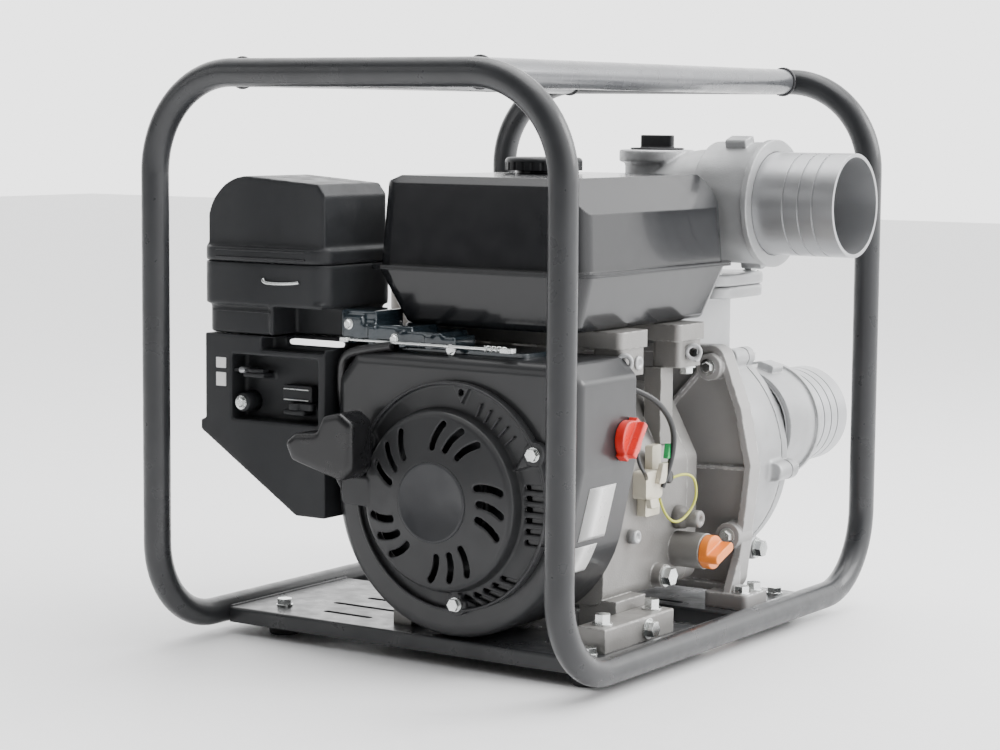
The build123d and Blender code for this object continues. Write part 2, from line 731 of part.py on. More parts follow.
def tank_dome(inset):
    """Upper half: sides lean in a little, bevels around the flat top, the widest on the right."""
    with BuildPart() as dome:
        with BuildSketch(level(tank_mid_x, tank_mid_y, tank_seam)):
            RectangleRounded(tank_w - 4 - 2 * inset, tank_d - 4 - 2 * inset, 18 - inset)
        with BuildSketch(level(tank_mid_x, tank_mid_y, tank_high - inset)):
            RectangleRounded(tank_w - 14 - 2 * inset, tank_d - 14 - 2 * inset, 18 - inset)
        loft()
        for corner, line in ((tank_x[0], left_bevel), (tank_x[1], right_bevel)):
            with BuildSketch(facing(0, tank_y[1] + 20, 0)):
                bevel_face(corner, line, inset)
            extrude(amount=tank_d + 40, mode=Mode.SUBTRACT)
        for corner, line in ((tank_y[0], front_bevel), (tank_y[1], back_bevel)):
            with BuildSketch(sideways(tank_x[0] - 20, 0, 0)):
                bevel_face(corner, line, inset)
            extrude(amount=tank_w + 40, mode=Mode.SUBTRACT)
    return dome.part


with BuildPart() as fuel_tank_lower:
    add(tank_bowl(0))
    with BuildSketch(level(tank_mid_x, tank_mid_y, tank_seam)):
        RectangleRounded(tank_w + 10, tank_d + 10, 20)
    extrude(amount=-2)
    add(tank_bowl(tank_sheet), mode=Mode.SUBTRACT)
    with BuildSketch(level(tank_mid_x - 70, tank_mid_y - 60, tank_low)):
        Circle(6)
    extrude(amount=4, mode=Mode.SUBTRACT)
fuel_tank_lower.part.label = "fuel_tank_lower"
export_step(fuel_tank_lower.part, "parts/fuel_tank_lower.step")

with BuildPart() as fuel_tank_upper:
    add(tank_dome(0))
    with BuildSketch(level(tank_mid_x, tank_mid_y, tank_seam)):
        RectangleRounded(tank_w + 10, tank_d + 10, 20)
    extrude(amount=2)
    add(tank_dome(tank_sheet), mode=Mode.SUBTRACT)
    with BuildSketch(level(cap_x, cap_y, tank_high - 1.6)):
        Circle(27)
    extrude(amount=4.6)
    with BuildSketch(level(cap_x, cap_y, tank_high - 6)):
        Circle(24)
    extrude(amount=12, mode=Mode.SUBTRACT)
fuel_tank_upper.part.label = "fuel_tank_upper"
export_step(fuel_tank_upper.part, "parts/fuel_tank_upper.step")

neck_top = tank_high + 3

with BuildPart() as fuel_strainer:
    with BuildSketch(level(cap_x, cap_y, neck_top)):
        Circle(26)
        Circle(20, mode=Mode.SUBTRACT)
    extrude(amount=1)
    with BuildSketch(level(cap_x, cap_y, neck_top)):
        Circle(21.5)
        Circle(20, mode=Mode.SUBTRACT)
    extrude(amount=-60)
    with BuildSketch(level(cap_x, cap_y, neck_top - 60)):
        Circle(21.5)
    extrude(amount=1.5)
fuel_strainer.part.label = "fuel_strainer"
export_step(fuel_strainer.part, "parts/fuel_strainer.step")

with BuildPart() as fuel_cap_gasket:
    with BuildSketch(level(cap_x, cap_y, neck_top + 1.3)):
        Circle(26)
        Circle(20, mode=Mode.SUBTRACT)
    extrude(amount=2)
fuel_cap_gasket.part.label = "fuel_cap_gasket"
export_step(fuel_cap_gasket.part, "parts/fuel_cap_gasket.step")

with BuildPart() as fuel_cap:
    with BuildSketch(level(cap_x, cap_y, neck_top + 0.3)):
        Circle(cap_r)
    extrude(amount=12.2)
    fillet(fuel_cap.faces().sort_by(Axis.Z)[-1].edges(), radius=4)
    with BuildSketch(level(cap_x, cap_y, neck_top)):
        Circle(28.2)
    extrude(amount=3.4, mode=Mode.SUBTRACT)
    with BuildSketch(level(cap_x, cap_y, neck_top - 2)):
        with PolarLocations(cap_r + 1.6, 24):
            Circle(2.6)
    extrude(amount=10, mode=Mode.SUBTRACT)
fuel_cap.part.label = "fuel_cap"
export_step(fuel_cap.part, "parts/fuel_cap.step")

tank_lug_x = (-34, 150)
tank_lug_y = (-80, 26)

with BuildPart() as tank_brackets:
    for y in tank_lug_y:
        with BuildSketch(level(sum(tank_lug_x) / 2, y, 287)):
            RectangleRounded(tank_lug_x[1] - tank_lug_x[0] + 34, 52, 6)
        extrude(amount=15.6)
        with BuildSketch(level(sum(tank_lug_x) / 2, y, 287)):
            Rectangle(tank_lug_x[1] - tank_lug_x[0] - 30, 40)
        extrude(amount=13, mode=Mode.SUBTRACT)
        for x in tank_lug_x:
            with BuildSketch(level(x, y, lug_low)):
                RectangleRounded(30, 44, 5)
            extrude(amount=288 - lug_low)
tank_brackets.part.label = "tank_brackets"
export_step(tank_brackets.part, "parts/tank_brackets.step")

# ---------------------------------------------------------------- air cleaner and control housing
cleaner_mid = (sum(cleaner_x) / 2, sum(cleaner_y) / 2)
air_way = (-124.0, -150.0)  # hole from the cleaner into the housing below it
cleaner_w, cleaner_d = cleaner_x[1] - cleaner_x[0], cleaner_y[1] - cleaner_y[0]
notch_w, notch_d, notch_high = 58.0, 36.0, 317.0
notch_mid = (-117.0, -193.0)

with BuildPart() as air_cleaner_body:
    with BuildSketch(level(*cleaner_mid, cleaner_low)):
        RectangleRounded(cleaner_w - 8, cleaner_d - 8, 16)
    extrude(amount=cleaner_seam - cleaner_low - 12)
    with BuildSketch(level(*cleaner_mid, cleaner_seam - 40)):
        RectangleRounded(cleaner_w, cleaner_d, 18)
    extrude(amount=40)
    with BuildSketch(level(*cleaner_mid, cleaner_low + 4)):
        RectangleRounded(cleaner_w - 16, cleaner_d - 16, 12)
    extrude(amount=cleaner_seam - cleaner_low, mode=Mode.SUBTRACT)
    with BuildSketch(level(*air_way, cleaner_low)):
        Circle(16)
    extrude(amount=6, mode=Mode.SUBTRACT)
    # walled notch at the front right corner
    with BuildSketch(level(*notch_mid, cleaner_low)):
        Rectangle(notch_w + 4, notch_d + 4)
    extrude(amount=notch_high - cleaner_low + 4)
    with BuildSketch(level(notch_mid[0] + 6, notch_mid[1] - 6, cleaner_low)):
        Rectangle(notch_w + 8, notch_d + 8)
    extrude(amount=notch_high - cleaner_low, mode=Mode.SUBTRACT)
air_cleaner_body.part.label = "air_cleaner_body"
export_step(air_cleaner_body.part, "parts/air_cleaner_body.step")

with BuildPart() as filter_element:
    with BuildSketch(level(*cleaner_mid, cleaner_low + 32)):
        RectangleRounded(cleaner_w - 34, cleaner_d - 34, 14)
        RectangleRounded(cleaner_w - 78, cleaner_d - 62, 10, mode=Mode.SUBTRACT)
    extrude(amount=32)
filter_element.part.label = "filter_element"
export_step(filter_element.part, "parts/filter_element.step")


def lid_profile(inset):
    """Front view of the lid: flat right side, high crown, long slope down to the left."""
    left, right = cleaner_x[0] + 5 + inset, cleaner_x[1] - 5 - inset
    foot, crown = cleaner_seam - 2, cleaner_high - inset
    with BuildLine() as edge:
        Polyline((left, foot), (left, 400 - inset))
        ThreePointArc((left, 400 - inset), (left + 15, 425 - inset), (left + 46, crown))
        Polyline((left + 46, crown), (right - 8, crown - 6), (right, crown - 16), (right, foot), (left, foot))
    return edge.line


with BuildPart() as air_cleaner_lid:
    with BuildSketch(level(*cleaner_mid, cleaner_seam + 0.2)):
        RectangleRounded(cleaner_w, cleaner_d, 18)
    extrude(amount=14)
    with BuildSketch(facing(0, cleaner_y[1] - 8, 0)):
        add(make_face(lid_profile(0).edges(), mode=Mode.PRIVATE))
    extrude(amount=cleaner_d - 16)
    with BuildSketch(facing(0, cleaner_y[1] - 12, 0)):
        add(make_face(lid_profile(3).edges(), mode=Mode.PRIVATE))
    extrude(amount=cleaner_d - 24, mode=Mode.SUBTRACT)
    split(bisect_by=level(0, 0, cleaner_seam + 0.2), keep=Keep.TOP)
air_cleaner_lid.part.label = "air_cleaner_lid"
export_step(air_cleaner_lid.part, "parts/air_cleaner_lid.step")

housing_y = (-212.0, -106.0)
lever_y = -202.0
choke_x, choke_z = -172.0, 254.0
valve_x, valve_z = -124.0, 222.0
pin_bore = 3.0 + running_gap

with BuildPart() as control_housing:
    with BuildSketch(facing(0, housing_y[1], 0)):
        with BuildLine():
            Polyline(
                (-226, 289), (-84, 289), (-84, 124), (-118, 124), (-232, 197), (-232, 206), (-226, 208),
                close=True,
            )
        make_face()
    extrude(amount=housing_y[1] - housing_y[0])
    with BuildSketch(facing(0, housing_y[1], 0)):
        with BuildLine():
            Polyline((-222, 285), (-88, 285), (-88, 128), (-119, 128), (-222, 194), close=True)
        make_face()
    extrude(amount=housing_y[1] - housing_y[0] - 26, mode=Mode.SUBTRACT)
    # control recess and upper window in the front
    with BuildSketch(facing(-143, housing_y[0] + 22, 240)):
        Rectangle(102, 61)
    extrude(amount=30, mode=Mode.SUBTRACT)
    with BuildSketch(facing(-122, housing_y[0] + 20, 282)):
        Rectangle(74, 12)
    extrude(amount=30, mode=Mode.SUBTRACT)
    # notch below the cleaner's
    with BuildSketch(level(notch_mid[0] + 6, notch_mid[1] - 6, 281)):
        Rectangle(notch_w + 8, notch_d + 8)
    extrude(amount=10, mode=Mode.SUBTRACT)
    # shelves and pins of the choke lever and the fuel valve
    for x, shelf_z in ((choke_x, choke_z), (valve_x, valve_z)):
        with BuildSketch(level(x, lever_y + 4, shelf_z - 5)):
            RectangleRounded(26, 20, 3)
        extrude(amount=4.7)
        with BuildSketch(level(x, lever_y, shelf_z - 5)):
            Circle(3)
        extrude(amount=9)
    with BuildSketch(level(*air_way, 280)):
        Circle(16)
    extrude(amount=12, mode=Mode.SUBTRACT)
control_housing.part.label = "control_housing"
export_step(control_housing.part, "parts/control_housing.step")

with BuildPart() as choke_lever:
    with BuildSketch(level(choke_x, lever_y, choke_z)):
        with BuildLine():
            Polyline((-20, -8), (11, -4), (11, 4), (-20, -2), close=True)
        make_face()
        Circle(7.5)
        Circle(pin_bore, mode=Mode.SUBTRACT)
    extrude(amount=3)
choke_lever.part.label = "choke_lever"
export_step(choke_lever.part, "parts/choke_lever.step")

with BuildPart() as fuel_valve:
    with BuildSketch(level(valve_x, lever_y, valve_z)):
        Circle(7.5)
        with Locations((9, 0)):
            RectangleRounded(24, 8, 3)
        Circle(pin_bore, mode=Mode.SUBTRACT)
    extrude(amount=6)
fuel_valve.part.label = "fuel_valve"
export_step(fuel_valve.part, "parts/fuel_valve.step")

with BuildPart() as carburettor:
    with BuildSketch(facing(gas_x, -101.2, gas_z)):
        RectangleRounded(32, 40, 6)
    extrude(amount=71)
    with BuildSketch(level(gas_x - 7, -143, 212)):
        Circle(18)
    extrude(amount=30)
    with BuildSketch(facing(gas_x, -101.2, gas_z)):
        Circle(12)
    extrude(amount=71, mode=Mode.SUBTRACT)
carburettor.part.label = "carburettor"
export_step(carburettor.part, "parts/carburettor.step")

with BuildPart() as control_plate:
    with BuildSketch(sideways(-83, -152, 292)):
        RectangleRounded(70, 15, 6)
    extrude(amount=92)
    with BuildSketch(level(40, -150, crank_z + 128)):
        RectangleRounded(150, 66, 6)
    extrude(amount=4.4)
    with BuildSketch(level(-60, -160, 299.5)):
        Circle(13)
    extrude(amount=2.8)
control_plate.part.label = "control_plate"
export_step(control_plate.part, "parts/control_plate.step")

with BuildPart() as governor_rod:
    rod_start, rod_end = spot(-70, -196, 290).position, spot(104, -196, 290).position
    add(hollow_rod(Plane(origin=rod_start, z_dir=rod_end - rod_start), 1.5, 0, (rod_end - rod_start).length))
    with BuildSketch(level(106, -196, 288)):
        RectangleRounded(14, 10, 3)
    extrude(amount=4)
    with BuildSketch(level(-72, -196, 288)):
        RectangleRounded(10, 10, 3)
    extrude(amount=4)
governor_rod.part.label = "governor_rod"
export_step(governor_rod.part, "parts/governor_rod.step")

# ---------------------------------------------------------------- exhaust, behind the air cleaner
muffler_x, muffler_y, muffler_z = (-200.0, -84.0), (44.0, 150.0), (232.0, 394.0)
outlet_y, outlet_z = 112.0, 362.0

with BuildPart() as muffler:
    with BuildSketch(level(sum(muffler_x) / 2, sum(muffler_y) / 2, muffler_z[0])):
        RectangleRounded(muffler_x[1] - muffler_x[0], muffler_y[1] - muffler_y[0], 30)
    extrude(amount=muffler_z[1] - muffler_z[0])
    fillet(muffler.faces().sort_by(Axis.Z)[-1].edges(), radius=14)
    with BuildSketch(facing(gas_x, muffler_y[0] + 4, gas_z)):
        Circle(15)
    extrude(amount=muffler_y[0] + 4 - 17.2)
    with BuildSketch(sideways(muffler_x[0] - 14, outlet_y, outlet_z)):
        Circle(11)
    extrude(amount=20)
    with BuildSketch(sideways(muffler_x[0] - 14, outlet_y, outlet_z)):
        Circle(9)
    extrude(amount=30, mode=Mode.SUBTRACT)
muffler.part.label = "muffler"
export_step(muffler.part, "parts/muffler.step")

with BuildPart() as muffler_guard:
    with BuildSketch(level(sum(muffler_x) / 2, sum(muffler_y) / 2, 290)):
        RectangleRounded(muffler_x[1] - muffler_x[0] + 16, muffler_y[1] - muffler_y[0] + 16, 36)
        RectangleRounded(
            muffler_x[1] - muffler_x[0] + 12, muffler_y[1] - muffler_y[0] + 12, 34, mode=Mode.SUBTRACT,
        )
    extrude(amount=96)
    # studs that stand the guard off the muffler
    for z in (302, 374):
        with BuildSketch(facing(-142, muffler_y[1] + 7, z)):
            with Locations((-30, 0), (30, 0)):
                Circle(5)
        extrude(amount=6.9)
    for row in range(4):
        with BuildSketch(facing(-142, 170, 314 + row * 16)):
            with GridLocations(26, 16, 4, 1):
                SlotOverall(20, 7)
        extrude(amount=40, mode=Mode.SUBTRACT)
    with BuildSketch(sideways(muffler_x[0] - 14, outlet_y, outlet_z)):
        Circle(14)
    extrude(amount=13, mode=Mode.SUBTRACT)
muffler_guard.part.label = "muffler_guard"
export_step(muffler_guard.part, "parts/muffler_guard.step")

# ---------------------------------------------------------------- switch, oil fittings, wiring
with BuildPart() as switch_knob:
    with BuildSketch(sideways(crank_x + 136.3, knob_y, knob_z)):
        Circle(17)
        with Locations((0, 0)):
            Rectangle(9, 40, rotation=-35)
    extrude(amount=9)
    with BuildSketch(sideways(crank_x + 136.3, knob_y, knob_z)):
        Rectangle(7, 34, rotation=-35)
    extrude(amount=17)
    add(hollow_rod(sideways(crank_x + 130, knob_y, knob_z), 4.9, 0, 8))
switch_knob.part.label = "switch_knob"
export_step(switch_knob.part, "parts/switch_knob.step")

with BuildPart() as oil_filler_cap:
    oil_seat = sideways(crank_x + 136.2, oil_y, oil_z)
    add(hollow_rod(oil_seat, 16, 0, 9))
    with BuildSketch(oil_seat):
        RectangleRounded(34, 9, 4, rotation=20)
    extrude(amount=20)
    add(hollow_rod(oil_seat.offset(-18), 10.4, 0, 19))
    add(hollow_rod(oil_seat.offset(-50), 3, 0, 40))
oil_filler_cap.part.label = "oil_filler_cap"
export_step(oil_filler_cap.part, "parts/oil_filler_cap.step")

with BuildPart() as drain_plugs:
    add(hex_bolt(sideways(crank_x + 114, -10, 68), 15, 7, 6.0, 13, 10, 1.5))
    add(hex_bolt(sideways(crank_x + 106, drain_y, drain_z), 15, 7, 6.0, 13, 10, 1.5))
drain_plugs.part.label = "drain_plugs"
export_step(drain_plugs.part, "parts/drain_plugs.step")

with BuildPart() as oil_alert_unit:
    with BuildSketch(sideways(crank_x + 104, -40, 158)):
        RectangleRounded(30, 26, 4)
    extrude(amount=14)
    with BuildSketch(sideways(crank_x + 104, -26, 181)):
        RectangleRounded(16, 24, 2)
    extrude(amount=8)
    with BuildSketch(sideways(crank_x + 104, -34, 137)):
        RectangleRounded(26, 18, 2)
    extrude(amount=9)
oil_alert_unit.part.label = "oil_alert_unit"
export_step(oil_alert_unit.part, "parts/oil_alert_unit.step")


def routed(points, radii, wire_r):
    """Round wire along straight runs joined by arcs."""
    with BuildPart() as wire:
        with BuildLine() as route:
            FilletPolyline(*[spot(*p).position for p in points], radius=radii)
        with BuildSketch(Plane(origin=route.line @ 0, z_dir=route.line % 0)):
            Circle(wire_r)
        sweep(path=route.line)
    return wire.part


with BuildPart() as wiring:
    main_lead = ((150, -96, 256), (172, -66, 248), (176, -26, 216), (172, -20, 180), (166, -26, 152))
    add(routed(main_lead, (22, 30, 20), 2.8))
    earth_wire = (
        (166, -12, 160), (172, 14, 166), (174, 22, 138), (171, 0, 120), (168, -24, 128), (166, -30, 144),
    )
    add(routed(earth_wire, (12, 12, 12, 12), 1.3))
    switch_lead = ((183, -104, 204), (181, -96, 186), (178, -76, 172), (168, -58, 166))
    add(routed(switch_lead, (20, 20), 1.8))
wiring.part.label = "wiring"
export_step(wiring.part, "parts/wiring.step")

# ---------------------------------------------------------------- pump end
def bracket_outline(inset):
    """Front view of the pump bracket from the crank axis."""
    with BuildSketch(Plane.XY) as outline:
        with BuildLine():
            Polyline(
                (-104, 112), (113, 123), (136, 63), (148, 7), (140, -61), (134, -116),
                (-134, -116), (-140, -61), (-148, 7), (-138, 60), close=True,
            )
        make_face()
        fillet(outline.vertices(), radius=16)
        if inset > 0:
            offset(amount=-inset, mode=Mode.REPLACE)
    return outline.sketch


with BuildPart() as pump_bracket:
    with BuildSketch(facing(crank_x, pump_front, crank_z)):
        add(bracket_outline(0))
    extrude(amount=20)
    with BuildSketch(facing(crank_x, pump_front - 9, crank_z)):
        add(bracket_outline(7))
    extrude(amount=40, mode=Mode.SUBTRACT)
    # hub that bolts to the engine cover
    with BuildSketch(facing(crank_x, pump_front - 9, crank_z)):
        Circle(62)
    extrude(amount=pump_front - 9 - cover_back)
    # ribs from the hub to the rim
    for direction in (48, 2, -40, -140, 178, 132):
        turn = Plane(
            origin=(frame_x + crank_x, frame_y + pump_front - 9, crank_z),
            x_dir=(cos(radians(direction)), 0, sin(radians(direction))),
            z_dir=(0, -1, 0),
        )
        with BuildSketch(turn):
            with Locations((98, 0)):
                Rectangle(84, 3.5)
        extrude(amount=8)
    with BuildSketch(facing(crank_x, pump_front, crank_z)):
        Circle(50)
    extrude(amount=pump_front - cover_back - 8, mode=Mode.SUBTRACT)
    with BuildSketch(facing(crank_x, pump_front, crank_z)):
        Circle(37)
    extrude(amount=pump_front - cover_back, mode=Mode.SUBTRACT)
    # corner bosses
    for x, z in ((104, 102), (-112, 88), (128, -60), (-128, -60)):
        with BuildSketch(facing(crank_x + x, pump_front, crank_z + z)):
            Circle(13)
        extrude(amount=28)
        with BuildSketch(facing(crank_x + x, pump_front, crank_z + z)):
            Circle(5)
        extrude(amount=28, mode=Mode.SUBTRACT)
    # feet
    for x in (-85, 181):
        with BuildSketch(level(x, 94, plate_top)):
            RectangleRounded(46, 46, 5)
        extrude(amount=bracket_foot)
        with BuildSketch(sideways(x - 4, 0, 0)):
            with BuildLine():
                Polyline((74, 39), (95, 39), (95, 78), close=True)
            make_face()
        extrude(amount=8)
    with BuildSketch(level(0, 0, plate_top)):
        with Locations(*pump_foot_bolts):
            Circle(4.5)
    extrude(amount=bracket_foot, mode=Mode.SUBTRACT)
pump_bracket.part.label = "pump_bracket"
export_step(pump_bracket.part, "parts/pump_bracket.step")

chamber_r = 110.0
ear_places = [(122 * cos(radians(turn)), 122 * sin(radians(turn))) for turn in (55, -5, -58, -120, 180, 125)]
flange_w, flange_d = 206.0, 104.0
flange_low, flange_mid, flange_high = 318.0, 330.0, 342.0
seal_r = 24.0

with BuildPart() as pump_casing:
    with BuildSketch(facing(crank_x, pump_back, crank_z)):
        Circle(volute_r)
        with Locations((port_x - crank_x, 90)):
            Rectangle(124, 150)
    extrude(amount=pump_back - pump_front)
    with BuildSketch(level(port_x, port_y, flange_low)):
        RectangleRounded(flange_w, flange_d - 6, 20)
    extrude(amount=flange_mid - flange_low)
    with BuildSketch(facing(crank_x, pump_back, crank_z)):
        Circle(chamber_r)
    extrude(amount=pump_back - pump_front - 10, mode=Mode.SUBTRACT)
    with BuildSketch(level(port_x, port_y, crank_z + 90)):
        Circle(42)
    extrude(amount=100, mode=Mode.SUBTRACT)
    with BuildSketch(facing(crank_x, pump_back, crank_z)):
        Circle(seal_r)
    extrude(amount=pump_back - pump_front, mode=Mode.SUBTRACT)
    with BuildSketch(level(port_x, port_y, flange_mid)):
        with GridLocations(2 * 88, 2 * 38, 2, 2):
            Circle(5)
    extrude(amount=-14, mode=Mode.SUBTRACT)
    # drain boss at the bottom right and ears of the suction cover
    with BuildSketch(sideways(crank_x + 50, drain_y, drain_z)):
        Circle(12)
    extrude(amount=56)
    with BuildSketch(facing(crank_x, pump_back, crank_z)):
        with Locations(*ear_places):
            Circle(10)
    extrude(amount=26)
    with BuildSketch(facing(crank_x, pump_back, crank_z)):
        Circle(chamber_r)
    extrude(amount=pump_back - pump_front - 10, mode=Mode.SUBTRACT)
    with BuildSketch(facing(crank_x, pump_back, crank_z)):
        with Locations(*ear_places):
            Circle(4.2)
    extrude(amount=9, mode=Mode.SUBTRACT)
    with BuildSketch(sideways(crank_x + 92, drain_y, drain_z)):
        Circle(6.05)
    extrude(amount=20, mode=Mode.SUBTRACT)
pump_casing.part.label = "pump_casing"
export_step(pump_casing.part, "parts/pump_casing.step")

spigot_r, collar_r, thread_gap = 53.5, 53.5, 0.3
spigot_end_x = tail_end_x - 128.4
spigot_end_y = tail_end_y - 128.4

with BuildPart() as suction_cover:
    with BuildSketch(facing(crank_x, pump_back + 11, crank_z)):
        Circle(volute_r)
        with Locations(*ear_places):
            Circle(10)
    extrude(amount=11)
    with BuildSketch(facing(suction_x, spigot_end_y - 0.3, suction_z)):
        Circle(spigot_r)
    extrude(amount=spigot_end_y - pump_back - 0.3)
    with BuildSketch(facing(suction_x, spigot_end_y, suction_z)):
        Circle(40)
    extrude(amount=60, mode=Mode.SUBTRACT)
    with BuildSketch(facing(crank_x, pump_back + 11, crank_z)):
        with Locations(*ear_places):
            Circle(4.5)
    extrude(amount=11, mode=Mode.SUBTRACT)
suction_cover.part.label = "suction_cover"
export_step(suction_cover.part, "parts/suction_cover.step")

with BuildPart() as impeller:
    add(turned(((138, pto_r), (138, 22), (144, 78), (149, 78), (149, 26), (172, 22), (172, pto_r))))
    for vane in range(3):
        turn = Plane(
            origin=(frame_x + crank_x, frame_y + 148, crank_z),
            x_dir=(cos(radians(120 * vane)), 0, sin(radians(120 * vane))),
            z_dir=(0, 1, 0),
        )
        with BuildSketch(turn):
            with BuildLine():
                vane_line = ThreePointArc((20, 4), (50, -8), (70, -30))
            SlotArc(vane_line, height=6)
        extrude(amount=22)
impeller.part.label = "impeller"
export_step(impeller.part, "parts/impeller.step")

with BuildPart() as mechanical_seal:
    add(turned((
        (pump_front, pto_r + 0.06), (pump_front, seal_r), (126, seal_r), (126, 19), (134, 17),
        (134, pto_r + 0.06),
    )))
mechanical_seal.part.label = "mechanical_seal"
export_step(mechanical_seal.part, "parts/mechanical_seal.step")

flap_y = pump_back - 1.0

with BuildPart() as check_valve:
    with BuildSketch(facing(suction_x, flap_y, suction_z)):
        Circle(42)
        with Locations((0, 38)):
            Rectangle(30, 14)
    extrude(amount=5)
    with BuildSketch(facing(suction_x, flap_y - 5, suction_z)):
        Circle(30)
    extrude(amount=4)
    with BuildSketch(sideways(suction_x - 15, flap_y - 2.5, suction_z + 43.5)):
        Circle(3.2)
    extrude(amount=30)
check_valve.part.label = "check_valve"
export_step(check_valve.part, "parts/check_valve.step")


# ---------------------------------------------------------------- ports and hose tails
elbow_bend = 66.0

with BuildPart() as discharge_elbow:
    with BuildLine() as elbow_route:
        FilletPolyline(
            spot(port_x, port_y, flange_mid + 0.2).position,
            spot(port_x, port_y, port_z).position,
            spot(spigot_end_x - 20, port_y, port_z).position,
            radius=elbow_bend,
        )
    with BuildSketch(level(port_x, port_y, flange_mid + 0.2)):
        Circle(52)
    sweep(path=elbow_route.line)
    with BuildSketch(sideways(spigot_end_x - 20, port_y, port_z)):
        Circle(spigot_r)
    extrude(amount=19.7)
    with BuildSketch(level(port_x, port_y, flange_mid + 0.2)):
        RectangleRounded(flange_w, flange_d, 22)
    extrude(amount=flange_high - flange_mid - 0.2)
    # priming port on top
    with BuildSketch(level(port_x, port_y, port_z)):
        Circle(32)
    extrude(amount=38)
    with BuildSketch(level(port_x, port_y, port_z + 38)):
        Circle(38)
    extrude(amount=12.5)
    # waterway
    with BuildSketch(level(port_x, port_y, flange_mid + 0.2)):
        Circle(43)
    sweep(path=elbow_route.line, mode=Mode.SUBTRACT)
    with BuildSketch(sideways(spigot_end_x - 21, port_y, port_z)):
        Circle(43)
    extrude(amount=24, mode=Mode.SUBTRACT)
    with BuildSketch(level(port_x, port_y, port_z)):
        Circle(25.3)
    extrude(amount=60, mode=Mode.SUBTRACT)
    with BuildSketch(level(port_x, port_y, flange_mid)):
        with GridLocations(2 * 88, 2 * 38, 2, 2):
            Circle(5)
    extrude(amount=14, mode=Mode.SUBTRACT)
discharge_elbow.part.label = "discharge_elbow"
export_step(discharge_elbow.part, "parts/discharge_elbow.step")

plug_z = port_z + 50.5

with BuildPart() as priming_plug:
    add(hollow_rod(level(port_x, port_y, plug_z - 16), 25, 18, 16))
    add(hollow_rod(level(port_x, port_y, plug_z + 0.3), 27, 0, 1.6))
    add(hollow_rod(level(port_x, port_y, plug_z - 1), 25, 0, 2))
    with BuildSketch(level(port_x, port_y, plug_z + 1.5)):
        RectangleRounded(36, 9, 3)
    extrude(amount=13)
priming_plug.part.label = "priming_plug"
export_step(priming_plug.part, "parts/priming_plug.step")


def union_nut(start):
    """Union nut on a plane at its pump side, normal along the pipe."""
    with BuildPart() as nut:
        add(hollow_rod(start, nut_r, 0, nut_length))
        add(hollow_rod(start.offset(nut_length - 6), nut_r + 2.5, 0, 6))
        with BuildSketch(start.offset(20)):
            with PolarLocations(nut_r, 2, start_angle=107):
                RectangleRounded(14, 18, 3)
        extrude(amount=22)
        with BuildSketch(start):
            Circle(spigot_r + thread_gap)
        extrude(amount=28, mode=Mode.SUBTRACT)
        with BuildSketch(start):
            Circle(tail_r + 0.4)
        extrude(amount=nut_length, mode=Mode.SUBTRACT)
    return nut.part


nut_start_x, nut_start_y = spigot_end_x - 19, spigot_end_y - 19

with BuildPart() as discharge_nut:
    add(union_nut(sideways(nut_start_x, port_y, port_z)))
discharge_nut.part.label = "discharge_nut"
export_step(discharge_nut.part, "parts/discharge_nut.step")

suction_nut_plane = Plane(
    origin=spot(suction_x, nut_start_y, suction_z).position,
    x_dir=(-1, 0, 0),
    z_dir=(0, 1, 0),
)

with BuildPart() as suction_nut:
    add(union_nut(suction_nut_plane))
suction_nut.part.label = "suction_nut"
export_step(suction_nut.part, "parts/suction_nut.step")


def hose_tail(start):
    """Grooved hose tail with the collar that the union nut pulls on."""
    with BuildPart() as tail:
        add(hollow_rod(start, tail_r, 0, 128.4))
        add(hollow_rod(start, collar_r, 0, 8.4))
        for place in (75, 91, 106):
            with BuildSketch(start.offset(place)):
                Circle(tail_r)
                Circle(tail_r - groove_depth, mode=Mode.SUBTRACT)
            extrude(amount=2, mode=Mode.SUBTRACT)
        with BuildSketch(start):
            Circle(tail_bore)
        extrude(amount=128.4, mode=Mode.SUBTRACT)
    return tail.part


with BuildPart() as hose_tails:
    add(hose_tail(sideways(spigot_end_x, port_y, port_z)))
    add(hose_tail(suction_nut_plane.offset(19)))
hose_tails.part.label = "hose_tails"
export_step(hose_tails.part, "parts/hose_tails.step")

with BuildPart() as pump_bolts:
    for x in (port_x - 88, port_x + 88):
        for y in (port_y - 38, port_y + 38):
            add(hex_bolt(level(x, y, flange_high), 13, 6, 4.0, 19, 8.5, 1.6))
    for x, y in pump_foot_bolts:
        add(hex_bolt(level(x, y, plate_top + bracket_foot), 13, 6, 4.0, 19, 8.5, 1.6))
    for x, z in ear_places:
        seat = Plane(origin=spot(crank_x + x, pump_back + 11, crank_z + z).position, z_dir=(0, 1, 0))
        add(hex_bolt(seat, 13, 6, 4.0, 19, 8.5, 1.6))
pump_bolts.part.label = "pump_bolts"
export_step(pump_bolts.part, "parts/pump_bolts.step")
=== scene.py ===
from math import cos, pi, radians, sin, sqrt

import bmesh
import bpy
from mathutils import Matrix, Vector


